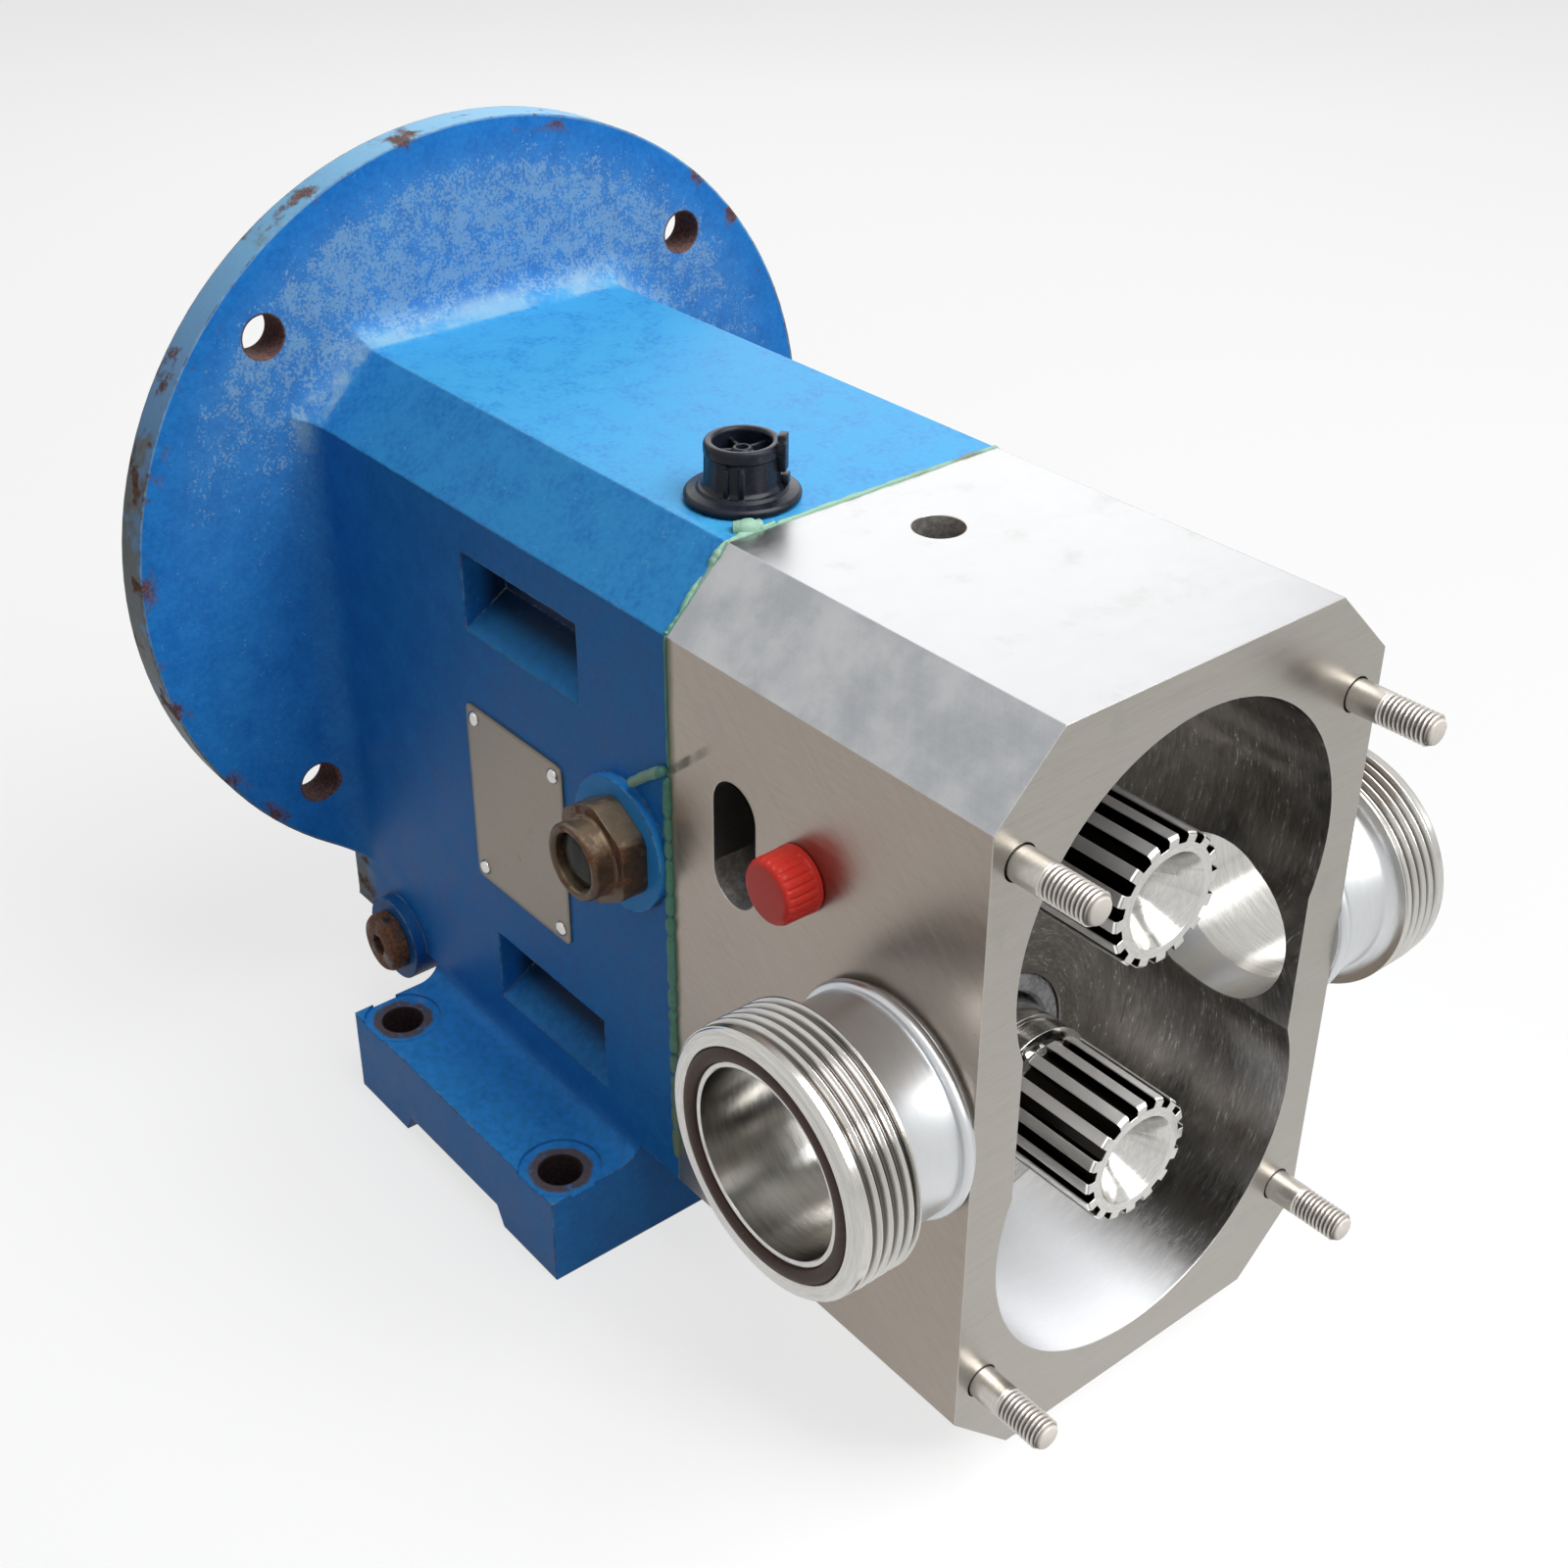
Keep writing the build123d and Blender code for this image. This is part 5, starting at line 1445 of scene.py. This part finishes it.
class PUMP_OT_sealant(FinishOperator, bpy.types.Operator):
    """Green sealant squeezed out of the joint between case and gearbox"""
    bl_idname = "pump.sealant"
    bl_label = "Joint Sealant"

    def execute(self, context):
        look = context.scene.lobe_pump_finish
        green = sealant_material()
        dress(green, "case_gasket")
        noise.seed_set(NOISE_SEED)
        for seed, (name, share, count, ragged, corners) in enumerate(self.beads(), 1):
            route, radii = self.squeezed([Vector(corner) for corner in corners],
                                         look.trim.bead_width * share, count, ragged, seed)
            piece = put(name, tube(route, radii), green, sharp=60)
            smooth = piece.modifiers.new("Rounded", "SUBSURF")
            smooth.levels = smooth.render_levels = 1
        return {"FINISHED"}

    def beads(self):
        """Each bead's name, radius as a share of the width, rings, raggedness and corners."""
        joint, side = JOINT - 0.3 * MM, -HALF_WIDTH
        shoulder_z, shoulder_y = TOP - CORNER_CHAMFER, side + CORNER_CHAMFER
        return (
            ("side_sealant", 0.70, 90, 0.07, (
                (joint, side - 0.2 * MM, 236 * MM), (joint, side - 0.2 * MM, 60 * MM))),
            ("upper_side_sealant", 0.20, 40, 0.25, (
                (joint + 0.5 * MM, side, 240 * MM), (joint + 0.5 * MM, side, shoulder_z))),
            ("shoulder_sealant", 0.30, 150, 1.15, (
                (joint, side + 0.2 * MM, shoulder_z), (joint, shoulder_y, TOP),
                (joint - 0.6 * MM, shoulder_y + 22 * MM, TOP))),
            ("top_sealant", 0.24, 120, 0.60, (
                (joint, shoulder_y + 22 * MM, TOP), (joint, HALF_WIDTH - CORNER_CHAMFER, TOP),
                (joint, HALF_WIDTH, shoulder_z))),
            ("far_sealant", 0.26, 90, 0.55, (
                (joint, HALF_WIDTH, shoulder_z), (joint, HALF_WIDTH, 90 * MM))),
            ("sealant_strand", 0.66, 30, 0.14, (
                (joint - 20 * MM, side - 1.9 * MM, 224.5 * MM),
                (joint - 10 * MM, side - 2.1 * MM, 232.5 * MM),
                (joint + 0.5 * MM, side - 1.6 * MM, STRAND_HEIGHT + 0.5 * MM))),
            ("sealant_blob", 0.80, 44, 0.95, (
                (joint - 6 * MM, shoulder_y + 6 * MM, TOP + 0.1 * MM),
                (joint - 3.0 * MM, shoulder_y + 9 * MM, TOP + 0.5 * MM),
                (joint - 1.0 * MM, shoulder_y + 16 * MM, TOP + 0.1 * MM))))

    def squeezed(self, corners, radius, count, ragged, seed):
        """Route and radii along straight runs, thick and thin as it was squeezed out."""
        lengths = [(b - a).length for a, b in zip(corners, corners[1:])]
        route, radii = [], []
        for index in range(count + 1):
            distance = sum(lengths) * index / count
            for run, (a, b) in zip(lengths, zip(corners, corners[1:])):
                if distance <= run or b == corners[-1]:
                    spot = a.lerp(b, min(1.0, distance / run))
                    break
                distance -= run
            wobble = noise.noise(spot * 160 + Vector((seed * 9.0, 0, 0)))
            swell = noise.noise(spot * 420 + Vector((0, seed * 5.0, 0)))
            drift = noise.noise_vector(spot * 90 + Vector((0, 0, seed * 3.0)))
            route.append(spot + drift * radius * ragged * 0.8)
            radii.append(max(0.2 * MM, radius * (1 + ragged * (1.1 * wobble + 0.6 * swell))))
        radii[0] = radii[-1] = radius * 0.45
        return route, radii


class PUMP_OT_shafts(FinishOperator, bpy.types.Operator):
    """Finish the shafts, timing gears, bearings and seals"""
    bl_idname = "pump.shafts"
    bl_label = "Shafts and Seals"

    def execute(self, context):
        look = context.scene.lobe_pump_finish
        gears = ("gear", "gear_key", "spacer_sleeve", "lock_nut")
        races = [f"{place}_{race}_race" for place in ("front", "rear")
                 for race in ("inner", "outer")]
        finishes = (
            ("Shaft Steel", look.metal.shaft, ["shaft"],
             {"rough": 0.11, "pitch": 1900.0, "detail": spline_detail}),
            ("Gear Steel", (0.36, 0.355, 0.35), gears, {"rough": 0.26, "grime": 0.3}),
            ("Seal Steel", (0.50, 0.49, 0.475), ["seal_head"], {"rough": 0.18}),
            ("Bearing Steel", (0.58, 0.58, 0.585), races, {"rough": 0.10}))
        for name, height in (("drive", DRIVE_HEIGHT), ("driven", DRIVEN_HEIGHT)):
            for title, colour, nodes, options in finishes:
                steel = turned_metal(f"{name.capitalize()} {title}", colour,
                                     (0.0, 0.0, height), **options)
                dress(steel, *[f"{name}_{node}" for node in nodes])
        dress(plain_surface("Lapped Seal Ring", (0.10, 0.10, 0.105), (0.17, 0.17, 0.175), 0.22,
                            500.0, 0.03 * MM), "drive_seal_seat", "driven_seal_seat")
        dress(plain_surface("Black Seal Rubber", (0.012, 0.012, 0.013), (0.035, 0.035, 0.036),
                            0.55, 420.0, 0.1 * MM, shine=0.4),
              "rear_lip_seal", "drive_front_lip_seal", "driven_front_lip_seal")
        return {"FINISHED"}


# ---- panel and registration -----------------------------------------------------------
PIECES = (PUMP_OT_stage, PUMP_OT_housing, PUMP_OT_case, PUMP_OT_ports, PUMP_OT_studs,
          PUMP_OT_breather, PUMP_OT_sight_glass, PUMP_OT_drain, PUMP_OT_nameplate,
          PUMP_OT_flush_plug, PUMP_OT_sealant, PUMP_OT_shafts)


class PUMP_PT_finish(bpy.types.Panel):
    """Settings and makers of the pump's finish"""
    bl_label = "Lobe Pump Finish"
    bl_idname = "PUMP_PT_finish"
    bl_space_type = "VIEW_3D"
    bl_region_type = "UI"
    bl_category = "Lobe Pump"

    def draw(self, context):
        look = context.scene.lobe_pump_finish
        for group in ("paint", "metal", "trim", "thread", "stage"):
            box = self.layout.box()
            box.label(text=group.capitalize())
            values = getattr(look, group)
            for key in type(values).__annotations__:
                box.prop(values, key)
        for operator in PIECES:
            self.layout.operator(operator.bl_idname)


CLASSES = (PaintSettings, MetalSettings, TrimSettings, ThreadSettings, StageSettings,
           PumpSettings, *PIECES, PUMP_PT_finish)


def register():
    for item in CLASSES:
        bpy.utils.register_class(item)
    bpy.types.Scene.lobe_pump_finish = PointerProperty(type=PumpSettings)


def unregister():
    del bpy.types.Scene.lobe_pump_finish
    for item in reversed(CLASSES):
        bpy.utils.unregister_class(item)


def main():
    register()
    for operator in PIECES:
        category, name = operator.bl_idname.split(".")
        getattr(getattr(bpy.ops, category), name)()


if __name__ == "__main__":
    main()
